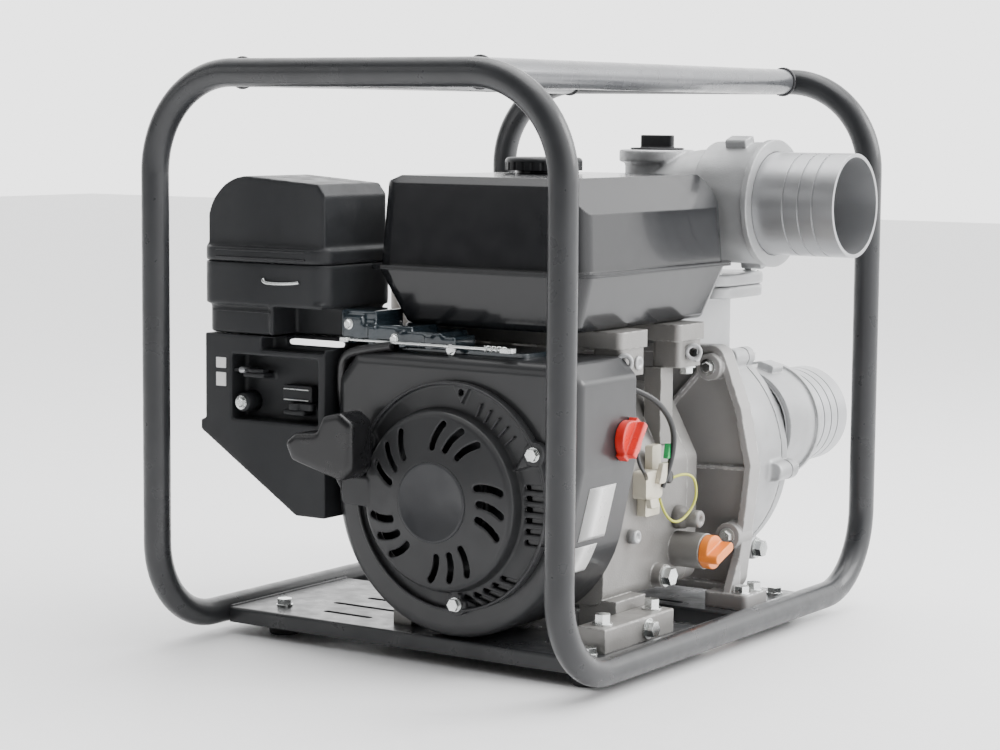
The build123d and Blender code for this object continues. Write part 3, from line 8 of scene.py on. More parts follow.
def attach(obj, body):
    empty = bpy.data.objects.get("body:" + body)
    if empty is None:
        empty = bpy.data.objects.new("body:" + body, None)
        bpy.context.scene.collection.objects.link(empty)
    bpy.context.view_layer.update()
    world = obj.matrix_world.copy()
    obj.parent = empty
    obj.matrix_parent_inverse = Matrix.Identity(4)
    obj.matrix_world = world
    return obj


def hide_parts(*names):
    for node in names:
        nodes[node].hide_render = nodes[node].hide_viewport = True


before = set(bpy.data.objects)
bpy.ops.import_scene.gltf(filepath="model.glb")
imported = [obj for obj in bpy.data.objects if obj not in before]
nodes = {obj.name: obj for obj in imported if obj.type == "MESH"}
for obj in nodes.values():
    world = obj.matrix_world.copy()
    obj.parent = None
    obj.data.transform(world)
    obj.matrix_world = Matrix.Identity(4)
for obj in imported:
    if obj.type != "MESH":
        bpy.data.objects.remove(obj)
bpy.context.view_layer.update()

# Engine-driven water pump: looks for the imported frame. Metres, +Z up. Places below are millimetres
# from the middle of the tube frame, as in the CAD source, and spot() turns them into the row frame.

FRAME_X, FRAME_Y = -15.35, -39.0
ROOT = "frame_group"
CRANK_X, CRANK_Z = 48.0, 154.0
SUCTION_X, SUCTION_Z = 108.0, 181.0
COVER_Y = 224.6  # outer face of the suction cover
RAIL_X, RAIL_Z, RAIL_END_Y, RAIL_R = 128.0, 531.0, 274.6, 13.0  # top rails, ends against the side tubes
PLATE_SEAM_X, PLATE_SEAM_Z = 206.9, 25.6  # seam of a base plate on its side tube
CRESCENT_R = 91.0  # middle of the ribbed crescent on the recoil flange


def spot(x, y, z):
    return Vector((FRAME_X + x, FRAME_Y + y, z)) / 1000


# ---------------------------------------------------------------- materials
class Graph:
    """Short calls for building one material's node tree."""

    def __init__(self, name):
        self.material = bpy.data.materials.new(name)
        self.material.use_nodes = True
        self.tree = self.material.node_tree
        self.shader = self.tree.nodes["Principled BSDF"]
        self.place = self.node("ShaderNodeTexCoord").outputs["Object"]

    def node(self, kind, **inputs):
        made = self.tree.nodes.new(kind)
        for label, value in inputs.items():
            self.feed(made.inputs[label.replace("_", " ")], value)
        return made

    def feed(self, socket, value):
        if isinstance(value, bpy.types.NodeSocket):
            self.tree.links.new(value, socket)
        else:
            socket.default_value = value

    def noise(self, scale, detail=4.0, stretch=(1, 1, 1)):
        mapping = self.node("ShaderNodeMapping", Vector=self.place, Scale=stretch)
        made = self.node("ShaderNodeTexNoise", Vector=mapping.outputs["Vector"], Scale=scale, Detail=detail)
        return made.outputs["Fac"]

    def spread(self, value, low_in, high_in, low, high):
        made = self.node("ShaderNodeMapRange", Value=value)
        for label, number in (("From Min", low_in), ("From Max", high_in), ("To Min", low), ("To Max", high)):
            made.inputs[label].default_value = number
        return made.outputs["Result"]

    def times(self, a, b):
        made = self.node("ShaderNodeMath")
        made.operation = "MULTIPLY"
        self.feed(made.inputs[0], a)
        self.feed(made.inputs[1], b)
        return made.outputs[0]

    def mix(self, factor, a, b):
        made = self.node("ShaderNodeMix")
        made.data_type = "RGBA"
        self.feed(made.inputs[0], factor)
        self.feed(made.inputs[6], a)
        self.feed(made.inputs[7], b)
        return made.outputs[2]


def surface(
    name, color, metallic=0.0, roughness=0.5, spread=0.1, grain=900.0, relief=0.1, mottle=0.15,
    worn=None, wear=0.5, coat=0.0, edge=0.0009, stretch=(1, 1, 1), sheen=0.0, specular=0.5,
):
    """Painted, moulded or cast finish: fine grain, slow mottling, uneven gloss, softened and worn edges."""
    g = Graph(name)
    broad = g.noise(16.0, 5.0)
    fine = g.noise(grain, 3.0, stretch)
    dark = [c * (1 - mottle) for c in color] + [1]
    light = [min(1, c * (1 + mottle)) for c in color] + [1]
    paint = g.mix(g.spread(broad, 0.3, 0.7, 0, 1), dark, light)
    soft = g.node("ShaderNodeBevel", Radius=edge)
    soft.samples = 4
    rough = g.spread(g.noise(60.0, 4.0), 0.3, 0.7, max(0.03, roughness - spread), min(1, roughness + spread))
    if worn:
        geometry = g.node("ShaderNodeNewGeometry")
        facing = g.node("ShaderNodeVectorMath")
        facing.operation = "DOT_PRODUCT"
        g.feed(facing.inputs[0], soft.outputs[0])
        g.feed(facing.inputs[1], geometry.outputs["Normal"])
        edges = g.spread(facing.outputs["Value"], 0.99, 0.86, 0, wear)
        patches = g.spread(g.noise(140.0, 5.0), 0.42, 0.6, 0, 1)
        paint = g.mix(g.times(edges, patches), paint, [*worn, 1])
    bump = g.node("ShaderNodeBump", Strength=relief, Distance=0.0006, Height=fine, Normal=soft.outputs[0])
    g.feed(g.shader.inputs["Base Color"], paint)
    g.feed(g.shader.inputs["Roughness"], rough)
    g.feed(g.shader.inputs["Normal"], bump.outputs[0])
    g.shader.inputs["Metallic"].default_value = metallic
    g.shader.inputs["Coat Weight"].default_value = coat
    g.shader.inputs["Coat Roughness"].default_value = 0.08
    g.shader.inputs["Sheen Weight"].default_value = sheen
    g.shader.inputs["Specular IOR Level"].default_value = specular
    return g.material


frame_black = surface(
    "frame_black", (0.024, 0.025, 0.027), roughness=0.34, grain=1400, relief=0.1,
    worn=(0.06, 0.06, 0.065), wear=0.3, coat=0.15, specular=0.4,
)
rail_grey = surface(
    "rail_grey", (0.11, 0.113, 0.12), metallic=0.3, roughness=0.3, grain=1200, relief=0.08,
    mottle=0.08, coat=0.5,
)
weld_metal = surface("weld_metal", (0.035, 0.035, 0.038), roughness=0.45, grain=500, relief=0.4, mottle=0.3)
zinc = surface(
    "zinc", (0.72, 0.74, 0.73), metallic=1.0, roughness=0.25, spread=0.12, grain=1600, relief=0.12,
    mottle=0.12, worn=(0.9, 0.9, 0.88), edge=0.0005,
)
rubber = surface("rubber", (0.018, 0.018, 0.019), roughness=0.72, grain=1100, relief=0.3, mottle=0.3)
grip_rubber = surface(
    "grip_rubber", (0.010, 0.010, 0.011), roughness=0.32, grain=900, relief=0.06, coat=0.2, edge=0.003,
    specular=0.35,
)
moulded_black = surface(
    "moulded_black", (0.020, 0.021, 0.023), roughness=0.44, grain=1700, relief=0.14, mottle=0.12,
    worn=(0.06, 0.06, 0.065), edge=0.0014, specular=0.3,
)
gloss_black = surface(
    "gloss_black", (0.012, 0.0125, 0.014), roughness=0.2, spread=0.04, grain=700, relief=0.03,
    mottle=0.08, coat=0.3, edge=0.0022, specular=0.3,
)
shroud_black = surface(
    "shroud_black", (0.024, 0.0245, 0.026), roughness=0.34, spread=0.05, grain=800, relief=0.04,
    worn=(0.06, 0.06, 0.065), coat=0.25, edge=0.002, specular=0.35, mottle=0.06,
)
recoil_grey = surface(
    "recoil_grey", (0.026, 0.0265, 0.028), roughness=0.42, grain=1500, relief=0.12,
    worn=(0.09, 0.09, 0.10), coat=0.1, edge=0.0016, specular=0.35, mottle=0.08,
)
badge_black = surface(
    "badge_black", (0.030, 0.031, 0.034), roughness=0.4, grain=1900, relief=0.05, mottle=0.05, specular=0.35,
)
cast_grey = surface(
    "cast_grey", (0.25, 0.243, 0.233), metallic=0.45, roughness=0.45, grain=620, relief=0.4,
    mottle=0.12, worn=(0.72, 0.71, 0.69), wear=0.8, edge=0.0022,
)
bracket_grey = surface(
    "bracket_grey", (0.33, 0.322, 0.317), metallic=0.2, roughness=0.42, grain=700, relief=0.25,
    mottle=0.07, worn=(0.85, 0.85, 0.84), wear=1.0, edge=0.0026,
)
bright_cast = surface(
    "bright_cast", (0.43, 0.435, 0.44), metallic=0.5, roughness=0.4, grain=520, relief=0.28,
    mottle=0.05, worn=(0.92, 0.92, 0.92), edge=0.0022,
)
machined = surface(
    "machined", (0.42, 0.425, 0.435), metallic=0.75, roughness=0.36, spread=0.05, grain=1400, relief=0.06,
    mottle=0.03, stretch=(1, 1, 14), edge=0.0008,
)
iron = surface("iron", (0.10, 0.098, 0.095), metallic=0.7, roughness=0.55, grain=420, relief=0.5, mottle=0.3)
burnt_steel = surface(
    "burnt_steel", (0.12, 0.11, 0.10), metallic=0.6, roughness=0.5, grain=380, relief=0.35,
    mottle=0.45, worn=(0.3, 0.28, 0.25),
)
red_plastic = surface(
    "red_plastic", (0.72, 0.024, 0.016), roughness=0.34, grain=1200, relief=0.12, mottle=0.08,
    worn=(0.85, 0.12, 0.1), edge=0.0016, coat=0.3,
)
orange_plastic = surface(
    "orange_plastic", (0.88, 0.22, 0.016), roughness=0.38, grain=1200, relief=0.12, mottle=0.08,
    worn=(0.95, 0.35, 0.1), edge=0.0014, coat=0.2,
)
ivory_plastic = surface("ivory_plastic", (0.62, 0.58, 0.47), roughness=0.4, grain=1300, relief=0.12)
green_plastic = surface("green_plastic", (0.03, 0.42, 0.12), roughness=0.4, grain=1300, relief=0.12)
earth_green = surface("earth_green", (0.55, 0.56, 0.08), roughness=0.42, grain=1500, relief=0.1)
cable_black = surface("cable_black", (0.012, 0.012, 0.013), roughness=0.4, grain=1500, relief=0.12, coat=0.2)
label_white = surface("label_white", (0.80, 0.80, 0.79), roughness=0.32, grain=1500, relief=0.05, mottle=0.03)
intake_blue = surface(
    "intake_blue", (0.018, 0.028, 0.036), metallic=0.25, roughness=0.14, spread=0.08, grain=260,
    relief=0.35, mottle=0.4, coat=0.9, edge=0.0015,
)
rope_fibre = surface(
    "rope_fibre", (0.03, 0.03, 0.032), roughness=0.8, grain=2200, relief=0.6, mottle=0.3, sheen=0.4,
)
foam = surface("foam", (0.06, 0.06, 0.07), roughness=0.9, grain=1400, relief=0.9, mottle=0.3)
seal_ceramic = surface("seal_ceramic", (0.66, 0.62, 0.56), roughness=0.2, grain=1200, relief=0.05)

finishes = {
    frame_black: ("frame_tube_left", "frame_tube_right", "front_base_plate", "rear_base_plate"),
    rail_grey: ("top_rails",),
    zinc: ("foot_bolts", "mount_bolts", "recoil_screws", "drain_plugs", "pump_bolts", "governor_rod"),
    rubber: ("rubber_feet", "fuel_cap_gasket", "check_valve"),
    moulded_black: (
        "cooling_fan", "starter_reel", "ignition_coil", "fuel_strainer", "fuel_cap", "fuel_valve",
        "priming_plug", "choke_lever",
    ),
    gloss_black: ("fuel_tank_lower", "fuel_tank_upper"),
    shroud_black: ("fan_shroud",),
    recoil_grey: ("recoil_housing",),
    cast_grey: (
        "crankcase", "crankcase_cover", "cylinder_head", "rocker_cover", "carburettor", "tank_brackets",
        "engine_mount_bars",
    ),
    bracket_grey: ("pump_bracket",),
    bright_cast: ("pump_casing", "suction_cover", "discharge_elbow", "discharge_nut", "suction_nut"),
    machined: ("crankshaft", "piston", "starter_cup", "spark_plug", "hose_tails"),
    iron: ("flywheel", "impeller"),
    burnt_steel: ("muffler", "muffler_guard"),
    intake_blue: ("control_plate",),
    red_plastic: ("switch_knob",),
    orange_plastic: ("oil_filler_cap",),
    ivory_plastic: ("oil_alert_unit",),
    rope_fibre: ("starter_rope",),
    foam: ("filter_element",),
    seal_ceramic: ("mechanical_seal",),
    cable_black: ("wiring",),
    grip_rubber: ("starter_grip",),
}


def paint(obj, material):
    for place in obj.material_slots:
        place.link = "OBJECT"
        place.material = material


for material, names in finishes.items():
    for name in names:
        paint(nodes[name], material)


# ---------------------------------------------------------------- making pieces
def keep(name, mesh, material, body=ROOT, smooth=True):
    """A finished mesh as a piece that rides on a body."""
    obj = bpy.data.objects.new(name, mesh)
    bpy.context.scene.collection.objects.link(obj)
    mesh.materials.clear()
    mesh.materials.append(material)
    if smooth:
        for face in mesh.polygons:
            face.use_smooth = True
    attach(obj, body)
    return obj


def from_bmesh(name, bm):
    bmesh.ops.recalc_face_normals(bm, faces=bm.faces)
    mesh = bpy.data.meshes.new(name)
    bm.to_mesh(mesh)
    bm.free()
    return mesh


def remeshed(source, voxel, rounds):
    """Voxel-remeshed and relaxed mesh of an object, which is then removed."""
    bpy.context.scene.collection.objects.link(source)
    remesh = source.modifiers.new("remesh", "REMESH")
    remesh.mode = "VOXEL"
    remesh.voxel_size = voxel
    relax = source.modifiers.new("relax", "SMOOTH")
    relax.factor = 0.5
    relax.iterations = rounds
    shown = source.evaluated_get(bpy.context.evaluated_depsgraph_get())
    mesh = bpy.data.meshes.new_from_object(shown)
    bpy.data.objects.remove(source)
    return mesh


def softened(node, voxel, rounds, material, body=ROOT):
    """Rounded casting or moulding grown from a CAD solid, which it replaces."""
    source = bpy.data.objects.new(node + "_source", nodes[node].data.copy())
    mesh = remeshed(source, voxel, rounds)
    made = keep(node + "_skin", mesh, material, body)
    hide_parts(node)
    return made


def axes_of(direction):
    """Two unit vectors square to a direction."""
    along = Vector(direction).normalized()
    helper = Vector((0, 0, 1)) if abs(along.z) < 0.9 else Vector((1, 0, 0))
    side = helper.cross(along).normalized()
    return side, along.cross(side), along


def lathe(name, centre, direction, profile, material, body=ROOT, steps=64):
    """Turned piece: profile points are (distance along direction, radius) in millimetres."""
    side, up, along = axes_of(direction)
    base = spot(*centre)
    bm = bmesh.new()
    rings = []
    for step in range(steps):
        turn = 2 * pi * step / steps
        out = side * cos(turn) + up * sin(turn)
        rings.append([bm.verts.new(base + (along * d + out * r) / 1000) for d, r in profile])
    count = len(profile)
    for step in range(steps):
        here, there = rings[step], rings[(step + 1) % steps]
        for k in range(count):
            follow = (k + 1) % count
            bm.faces.new((here[k], there[k], there[follow], here[follow]))
    bmesh.ops.remove_doubles(bm, verts=bm.verts, dist=1e-6)
    return keep(name, from_bmesh(name, bm), material, body)


def plate(name, centre, across, up, size, thick, material, corner=2.0, body=ROOT, soft=0.4):
    """Rounded plate centred on a point, size in millimetres, standing out from its plane."""
    u, v = Vector(across).normalized(), Vector(up).normalized()
    out = u.cross(v)
    base = spot(*centre)
    bm = bmesh.new()
    verts = []
    for sx, sy, start in ((1, 1, 0), (-1, 1, 90), (-1, -1, 180), (1, -1, 270)):
        for step in range(5):
            turn = radians(start + 22.5 * step)
            x = sx * (size[0] / 2 - corner) + corner * cos(turn)
            y = sy * (size[1] / 2 - corner) + corner * sin(turn)
            verts.append(bm.verts.new(base + (u * x + v * y) / 1000))
    face = bm.faces.new(verts)
    grown = bmesh.ops.extrude_face_region(bm, geom=[face])
    moved = [e for e in grown["geom"] if isinstance(e, bmesh.types.BMVert)]
    bmesh.ops.translate(bm, verts=moved, vec=out * thick / 1000)
    if soft > 0:
        top = [e for e in bm.edges if all(v in moved for v in e.verts)]
        bmesh.ops.bevel(bm, geom=top, offset=soft / 1000, segments=2, affect="EDGES")
    return keep(name, from_bmesh(name, bm), material, body, smooth=False)


def hex_head(name, centre, direction, flats, height, washer, material=zinc, body=ROOT):
    """Flanged hexagon head with a chamfered crown."""
    side, up, along = axes_of(direction)
    base = spot(*centre)
    bm = bmesh.new()
    around = 48
    corner = flats / sqrt(3)
    rows = (
        (0, washer, False), (1.6, washer, False), (2.0, corner, True), (height - 1, corner, True),
        (height, corner * 0.82, True),
    )
    loops = []
    for distance, radius, six_sided in rows:
        ring = []
        for step in range(around):
            turn = 2 * pi * step / around
            reach = radius
            if six_sided:
                fold = (turn + pi / 6) % (pi / 3) - pi / 6
                reach = radius * cos(pi / 6) / cos(fold)
            out = side * cos(turn) + up * sin(turn)
            ring.append(bm.verts.new(base + (along * distance + out * reach) / 1000))
        loops.append(ring)
    for low, high in zip(loops, loops[1:]):
        for k in range(around):
            follow = (k + 1) % around
            bm.faces.new((low[k], low[follow], high[follow], high[k]))
    bm.faces.new(loops[0][::-1])
    bm.faces.new(loops[-1])
    return keep(name, from_bmesh(name, bm), material, body, smooth=False)


def route(name, points, radius, material, body=ROOT):
    """Round wire, hose or bar on a smooth line through its control points."""
    curve = bpy.data.curves.new(name, "CURVE")
    curve.dimensions = "3D"
    curve.bevel_depth = radius / 1000
    curve.bevel_resolution = 5
    curve.resolution_u = 10
    curve.use_fill_caps = True
    line = curve.splines.new("NURBS")
    line.points.add(len(points) - 1)
    for point, place in zip(line.points, points):
        point.co = (*spot(*place), 1)
    line.order_u = 3
    line.use_endpoint_u = True
    curve.materials.append(material)
    obj = bpy.data.objects.new(name, curve)
    bpy.context.scene.collection.objects.link(obj)
    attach(obj, body)
    return obj


def bead(name, path, radius, pitch=2.6, material=weld_metal):
    """Weld bead: overlapping ripples along a path of points."""
    bm = bmesh.new()
    around = 10
    places = [spot(*p) for p in path]
    rows = []
    travelled = 0.0
    for index, here in enumerate(places):
        before, after = places[max(0, index - 1)], places[min(len(places) - 1, index + 1)]
        side, up, _ = axes_of(after - before)
        travelled += (here - before).length * 1000
        swell = radius * (0.82 + 0.18 * abs(sin(pi * travelled / pitch)))
        turns = [2 * pi * k / around for k in range(around)]
        rows.append([bm.verts.new(here + (side * cos(t) + up * sin(t)) * swell / 1000) for t in turns])
    for low, high in zip(rows, rows[1:]):
        for k in range(around):
            follow = (k + 1) % around
            bm.faces.new((low[k], low[follow], high[follow], high[k]))
    bm.faces.new(rows[0][::-1])
    bm.faces.new(rows[-1])
    return keep(name, from_bmesh(name, bm), material, ROOT)


def line_of(a, b, count):
    """Evenly spaced places from one point to another."""
    return [tuple(p + (q - p) * k / (count - 1) for p, q in zip(a, b)) for k in range(count)]


def loop_about_y(x, y, z, radius, count=90):
    """Places round a circle whose axis is +Y."""
    turns = [2 * pi * k / count for k in range(count + 1)]
    return [(x + radius * cos(t), y, z + radius * sin(t)) for t in turns]


# ---------------------------------------------------------------- tube frame
for side_name, side in (("left", -1), ("right", 1)):
    for end_name, end in (("front", -1), ("rear", 1)):
        ring = loop_about_y(side * RAIL_X, end * RAIL_END_Y, RAIL_Z, RAIL_R)
        bead(f"rail_weld_{side_name}_{end_name}", ring, 1.9)
    for plate_name, low, high in (("front", -198, -17), ("rear", 54, 188)):
        seam = side * PLATE_SEAM_X
        path = line_of((seam, low, PLATE_SEAM_Z), (seam, high, PLATE_SEAM_Z), 110)
        bead(f"plate_weld_{side_name}_{plate_name}", path, 2.3)

# ---------------------------------------------------------------- housings grown from the CAD solids
softened("air_cleaner_lid", 0.0015, 9, moulded_black, "lid_group")
softened("air_cleaner_body", 0.0015, 5, moulded_black)
softened("control_housing", 0.0014, 3, moulded_black)
softened("starter_grip", 0.0011, 22, grip_rubber, "grip_group")
softened("discharge_elbow", 0.0017, 5, bright_cast)
softened("pump_casing", 0.0019, 5, bright_cast)
softened("muffler", 0.002, 4, burnt_steel)
softened("switch_knob", 0.0006, 4, red_plastic, "switch_group")
softened("oil_filler_cap", 0.0006, 3, orange_plastic, "oil_cap_group")
softened("priming_plug", 0.0008, 3, moulded_black, "plug_group")
softened("recoil_housing", 0.0009, 3, recoil_grey)

# ---------------------------------------------------------------- recoil starter face
lathe(
    "badge_disc", (CRANK_X, -229, CRANK_Z), (0, -1, 0),
    ((-0.4, 0), (-0.4, 36), (0.9, 36), (1.5, 35.2), (1.5, 33.4), (1.1, 32.8), (1.2, 0)),
    badge_black,
)
lathe(
    "recoil_rim", (CRANK_X + 8, -212.6, CRANK_Z + 4), (0, -1, 0),
    ((-0.5, 100.2), (0.9, 100.4), (1.6, 101.2), (1.5, 102.2), (0.8, 102.9), (-0.5, 102.9)),
    recoil_grey, steps=120,
)
for k in range(5):
    turn = radians(40 + 6.5 * k)
    place = (CRANK_X + CRESCENT_R * cos(turn), -207.6, CRANK_Z + CRESCENT_R * sin(turn))
    plate(
        f"crescent_rib_{k}", place, (cos(turn), 0, sin(turn)), (-sin(turn), 0, cos(turn)), (13, 1.8), 3.6,
        recoil_grey, corner=0.7,
    )

lathe(
    "guard_screen", (CRANK_X, -204.6, CRANK_Z), (0, -1, 0),
    ((0, 46), (0.7, 46), (0.7, 80), (0, 80)), moulded_black,
)
lathe(
    "rope_eyelet", (-55.6, -216, 154), (-1, 0, 0),
    ((-0.5, 3.9), (0.5, 3.4), (1.8, 3.6), (2.2, 5.0), (1.6, 6.8), (-0.5, 7.2)),
    grip_rubber,
)


# ---------------------------------------------------------------- labels, all plain
def shroud_side(z):
    """Half width of the shroud from the crank axis at a height above the axis."""
    if z > 35:
        return 136.0
    if z > -25.8:
        return 123.3 + (136 - 123.3) * (z + 25.8) / 60.8
    return sqrt(126.0**2 - z**2)


def wrapped_label(name, y_low, y_high, z_low, z_high, lean):
    """Thin label bent round the right side of the shroud."""
    bm = bmesh.new()
    rows = []
    for k in range(17):
        z = z_low + (z_high - z_low) * k / 16
        shift = lean * (z - z_low) / (z_high - z_low)
        rows.append([
            bm.verts.new(spot(CRANK_X + shroud_side(z) + 0.35, y + shift, CRANK_Z + z))
            for y in (y_low, (y_low + y_high) / 2, y_high)
        ])
    for low, high in zip(rows, rows[1:]):
        for k in range(2):
            bm.faces.new((low[k], low[k + 1], high[k + 1], high[k]))
    mesh = from_bmesh(name, bm)
    made = keep(name, mesh, label_white, ROOT)
    thick = made.modifiers.new("thick", "SOLIDIFY")
    thick.thickness = 0.00025
    thick.offset = 0
    return made


wrapped_label("shroud_label", -180, -136, -30, 18, 3)
wrapped_label("shroud_small_label", -186, -150, -60, -35, 4)
for label_name, z, height in (("top", 261.6, 10), ("low", 246.0, 13)):
    plate(
        f"housing_label_{label_name}", (-206.5, -212.1, z), (1, 0, 0), (0, 0, 1), (12, height), 0.35,
        label_white, 0.6, soft=0.1,
    )

# ---------------------------------------------------------------- air cleaner and control recess
route(
    "lid_clip",
    ((-153, -213.8, 342), (-153, -216, 343), (-151.5, -216, 338.6), (-118, -216, 339.4), (-112, -214.5, 341)),
    1.6, zinc,
)
lathe(
    "recess_boss", (-184, -190, 225), (0, -1, 0),
    ((0, 0), (0, 9.5), (18, 8.8), (19, 8.0), (19, 0)), moulded_black,
)
hex_head("recess_bolt", (-184, -209, 225), (0, -1, 0), 8, 4.6, 6.6)
plate(
    "recess_latch", (-125, -190, 236), (1, 0, 0), (0, 0, 1), (34, 16), 10, moulded_black, 2,
)
for k, z in enumerate((230.5, 240.5)):
    route(f"latch_wire_{k}", ((-140, -201, z), (-111, -201, z)), 0.7, zinc)
lathe(
    "choke_tip", (-182, -206, 255.5), (-0.9, -0.4, 0),
    ((-4, 0), (-4, 2.4), (4, 3.2), (6, 2.2), (6, 0)), machined, "choke_group", steps=24,
)
for k, z in enumerate((361.5, 368.5)):
    plate(
        f"lid_ridge_{k}", (-158, -214, z), (1, 0, 0), (0, 0, 1), (106, 1.8), 1.0, moulded_black, 0.8,
        body="lid_group", soft=0.3,
    )
plate(
    "cleaner_band", (-180, -214, 311.5), (1, 0, 0), (0, 0, 1), (68, 1.6), 0.9, moulded_black, 0.7,
    soft=0.2,
)

# ---------------------------------------------------------------- intake, linkage and hoses over the shroud
def lump(name, blocks, voxel, rounds, material, body=ROOT):
    """One smooth casting from overlapping blocks of (centre, size)."""
    bm = bmesh.new()
    for centre, size in blocks:
        fit = Matrix.Translation(spot(*centre)) @ Matrix.Diagonal((*[s / 1000 for s in size], 1))
        bmesh.ops.create_cube(bm, size=1, matrix=fit)
    raw = bpy.data.objects.new(name + "_raw", from_bmesh(name, bm))
    return keep(name, remeshed(raw, voxel, rounds), material, body)


lump("intake_duct", (
    ((-62, -168, 304), (40, 44, 26)), ((-30, -172, 297), (60, 40, 16)), ((8, -172, 294), (50, 44, 14)),
    ((-66, -186, 300), (22, 16, 22)), ((34, -176, 292), (26, 34, 12)), ((-44, -190, 294), (8, 10, 18)),
    ((-10, -190, 293), (6, 12, 16)), ((20, -190, 292), (8, 10, 12)),
), 0.0013, 6, intake_blue)
for k, (x, z) in enumerate(((-70, 313), (-18, 302), (44, 296))):
    hex_head(f"intake_bolt_{k}", (x, -193, z - 9), (0, -1, 0), 7, 4, 5)

spring_r, spring_turn, spring_advance = 3.2, 1.05, 0.95
helix = [
    (
        104 - spring_advance * k,
        -196 + spring_r * cos(k * spring_turn),
        290 + spring_r * sin(k * spring_turn),
    )
    for k in range(26)
]
route("governor_spring", helix, 0.55, zinc, "governor_group")
route(
    "breather_hose",
    (
        (-78, -190, 218), (-76, -197, 240), (-75, -199, 262), (-70, -200, 276), (-52, -199, 282),
        (-20, -196, 287),
    ),
    4.2, cable_black,
)
route(
    "fuel_hose", ((-82, -150, 262), (-64, -146, 268), (-40, -140, 288), (-26, -120, 296)),
    4.6, cable_black,
)

# ---------------------------------------------------------------- tank fixings
for k, y in enumerate((-92, 34)):
    hex_head(f"tank_nut_{k}", (156, y, 262), (0, 0, -1), 12, 8, 9)
    lathe(
        f"tank_eye_{k}", (168, y - 8, 276), (0.5, -0.85, 0.05),
        ((-8, 4.2), (7, 4.2), (8, 4.8), (8, 7.6), (7, 8.2), (-8, 8.2)), bright_cast,
        steps=36,
    )

# ---------------------------------------------------------------- wiring
main_cable = route(
    "main_cable", ((150, -96, 256), (172, -66, 248), (178, -26, 216), (173, -18, 180), (166, -26, 154)),
    2.8, cable_black,
)
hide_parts("wiring")
route(
    "earth_wire",
    ((166, -12, 160), (174, 16, 168), (176, 26, 138), (171, 0, 116), (168, -24, 126), (166, -30, 144)),
    1.3, earth_green,
)
route(
    "switch_wire", ((183, -104, 204), (181, -96, 186), (178, -76, 172), (168, -58, 166)),
    1.8, cable_black,
)
plate("plug_white", (166.2, -30, 168), (0, 1, 0), (0, 0.35, 0.94), (12, 20), 5, ivory_plastic, 2)
plate("plug_green", (168, -24, 188), (0, 1, 0), (0, 0.2, 0.98), (6, 14), 5, green_plastic, 1.6)
plate("plug_clear", (166.2, -48, 142), (0, 1, 0), (0, -0.3, 0.95), (13, 10), 5, ivory_plastic, 2)
lathe(
    "wire_grommet", (166, -18, 163), (1, 0, 0), ((0, 0), (0, 6.5), (4, 6), (5, 4.6), (5, 0)),
    cable_black, steps=32,
)

# ---------------------------------------------------------------- bosses on the engine's right side
for k, (x, y, z) in enumerate(((164.8, -71, 273), (164.8, 37, 272), (151.8, -59, 111))):
    reach = 9 if k == 2 else 2.4
    lathe(
        f"lug_ring_{k}", (x, y, z), (1, 0, 0),
        ((0, 6.8), (reach - 0.6, 6.4), (reach, 5.6), (reach, 3.4), (reach - 1.6, 2.8), (reach - 1.8, 0)),
        bright_cast, steps=40,
    )
lathe(
    "case_boss", (151.5, 28, 118), (1, 0, 0),
    (
        (0, 11.5), (9, 10.6), (13, 8.6), (14, 8.2), (15, 8.6), (25, 8.2), (26.4, 7), (26.4, 3.2),
        (22, 2.8), (22, 0),
    ),
    cast_grey, steps=48,
)

# ---------------------------------------------------------------- bracket bolts and hub ring
for k, (x, z) in enumerate(((104, 102), (-112, 88), (128, -60), (-128, -60))):
    hex_head(f"bracket_bolt_{k}", (CRANK_X + x, 84, CRANK_Z + z), (0, -1, 0), 10, 5, 8)
lathe(
    "bracket_hub_ring", (CRANK_X, 102.6, CRANK_Z), (0, -1, 0),
    ((-0.4, 66), (5, 66), (6.5, 67.5), (6.5, 70), (5, 71.5), (-0.4, 71.5)), bracket_grey,
    steps=96,
)

# ---------------------------------------------------------------- ribs and raised ring on the suction cover
rib_r = 83.0
for k, degree in enumerate((150, 180, 210, 240)):
    turn = radians(degree)
    place = (SUCTION_X + rib_r * cos(turn), COVER_Y, SUCTION_Z + rib_r * sin(turn))
    plate(
        f"cover_rib_{k}", place, (cos(turn), 0, sin(turn)), (sin(turn), 0, -cos(turn)), (54, 5), 7,
        bright_cast, 1.5, soft=1.4,
    )
lathe(
    "cover_ring", (CRANK_X, COVER_Y, CRANK_Z), (0, 1, 0),
    ((0, 112.5), (2.6, 111.6), (3.4, 110.6), (3.4, 108.4), (2.6, 107.4), (0, 106.5)),
    bright_cast, steps=120,
)
lathe(
    "spigot_bead", (SUCTION_X, COVER_Y + 0.2, SUCTION_Z), (0, 1, 0),
    ((0, 57), (1.6, 56.6), (3.6, 54.6), (4.2, 53.2)), bright_cast, steps=72,
)
plate(
    "rating_plate", (12, COVER_Y + 0.2, 118), (-1, 0, 0), (0, 0, 1), (42, 26), 0.8, zinc, 2,
    soft=0.2,
)

# ---------------------------------------------------------------- floor, light and camera
floor_mesh = bpy.data.meshes.new("floor")
reach = 9.0
floor_corners = [(-reach, -reach, 0), (reach, -reach, 0), (reach, reach, 0), (-reach, reach, 0)]
floor_mesh.from_pydata(floor_corners, [], [(0, 1, 2, 3)])
floor = bpy.data.objects.new("floor", floor_mesh)
bpy.context.scene.collection.objects.link(floor)
floor_mesh.materials.append(
    surface(
        "floor_paper", (0.93, 0.93, 0.935), roughness=0.55, grain=40, relief=0.01, mottle=0.005,
        edge=0.0001,
    )
)

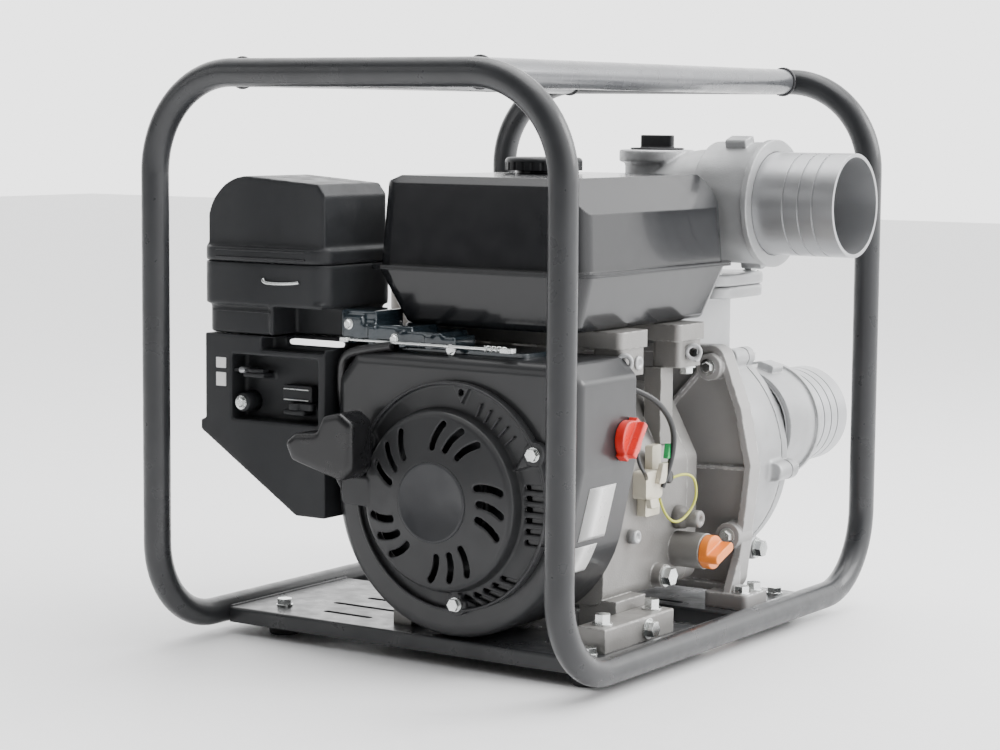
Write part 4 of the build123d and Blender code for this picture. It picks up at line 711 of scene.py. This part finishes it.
world = bpy.data.worlds.new("studio")
bpy.context.scene.world = world
world.use_nodes = True
sky = world.node_tree
background = sky.nodes["Background"]
direction = sky.nodes.new("ShaderNodeTexCoord")
along_y = sky.nodes.new("ShaderNodeVectorMath")
along_y.operation = "DOT_PRODUCT"
along_y.inputs[1].default_value = (0.25, 0.97, 0.0)
sky.links.new(direction.outputs["Generated"], along_y.inputs[0])
fade = sky.nodes.new("ShaderNodeMapRange")
fade.interpolation_type = "SMOOTHSTEP"
for label, number in (("From Min", -0.75), ("From Max", 0.35), ("To Min", 0.06), ("To Max", 3.0)):
    fade.inputs[label].default_value = number
sky.links.new(along_y.outputs["Value"], fade.inputs["Value"])
sky.links.new(fade.outputs["Result"], background.inputs["Strength"])
background.inputs["Color"].default_value = (1, 1, 1, 1)

target = Vector((0, 0, 0.25))


def softbox(name, place, size, power):
    """Square area light facing the middle of the object."""
    light = bpy.data.lights.new(name, "AREA")
    light.shape = "SQUARE"
    light.size = size
    light.energy = power
    obj = bpy.data.objects.new(name, light)
    obj.location = place
    obj.rotation_euler = (target - Vector(place)).to_track_quat("-Z", "Y").to_euler()
    bpy.context.scene.collection.objects.link(obj)


softbox("back_right", (1.7, 1.3, 1.5), 1.4, 58)
softbox("overhead", (0.1, 0.2, 2.3), 1.8, 36)
softbox("front_left", (-1.6, -1.9, 1.2), 1.2, 7)

azimuth, elevation, roll = radians(33.64), radians(6.01), radians(0.471)
back = Vector((sin(azimuth) * cos(elevation), -cos(azimuth) * cos(elevation), sin(elevation)))
right = Vector((cos(azimuth), sin(azimuth), 0))
upward = back.cross(right)
turned_right = right * cos(roll) + upward * sin(roll)
turned_up = upward * cos(roll) - right * sin(roll)
camera_data = bpy.data.cameras.new("photo_view")
camera_data.lens = 89.5
camera_data.sensor_width = 36.0
camera = bpy.data.objects.new("photo_view", camera_data)
rows = zip(turned_right, turned_up, back)
turned = Matrix([list(row) for row in rows]).to_4x4()
camera.matrix_world = Matrix.Translation(spot(1301.9, -2005.1, 496.9)) @ turned
bpy.context.scene.collection.objects.link(camera)
bpy.context.scene.camera = camera
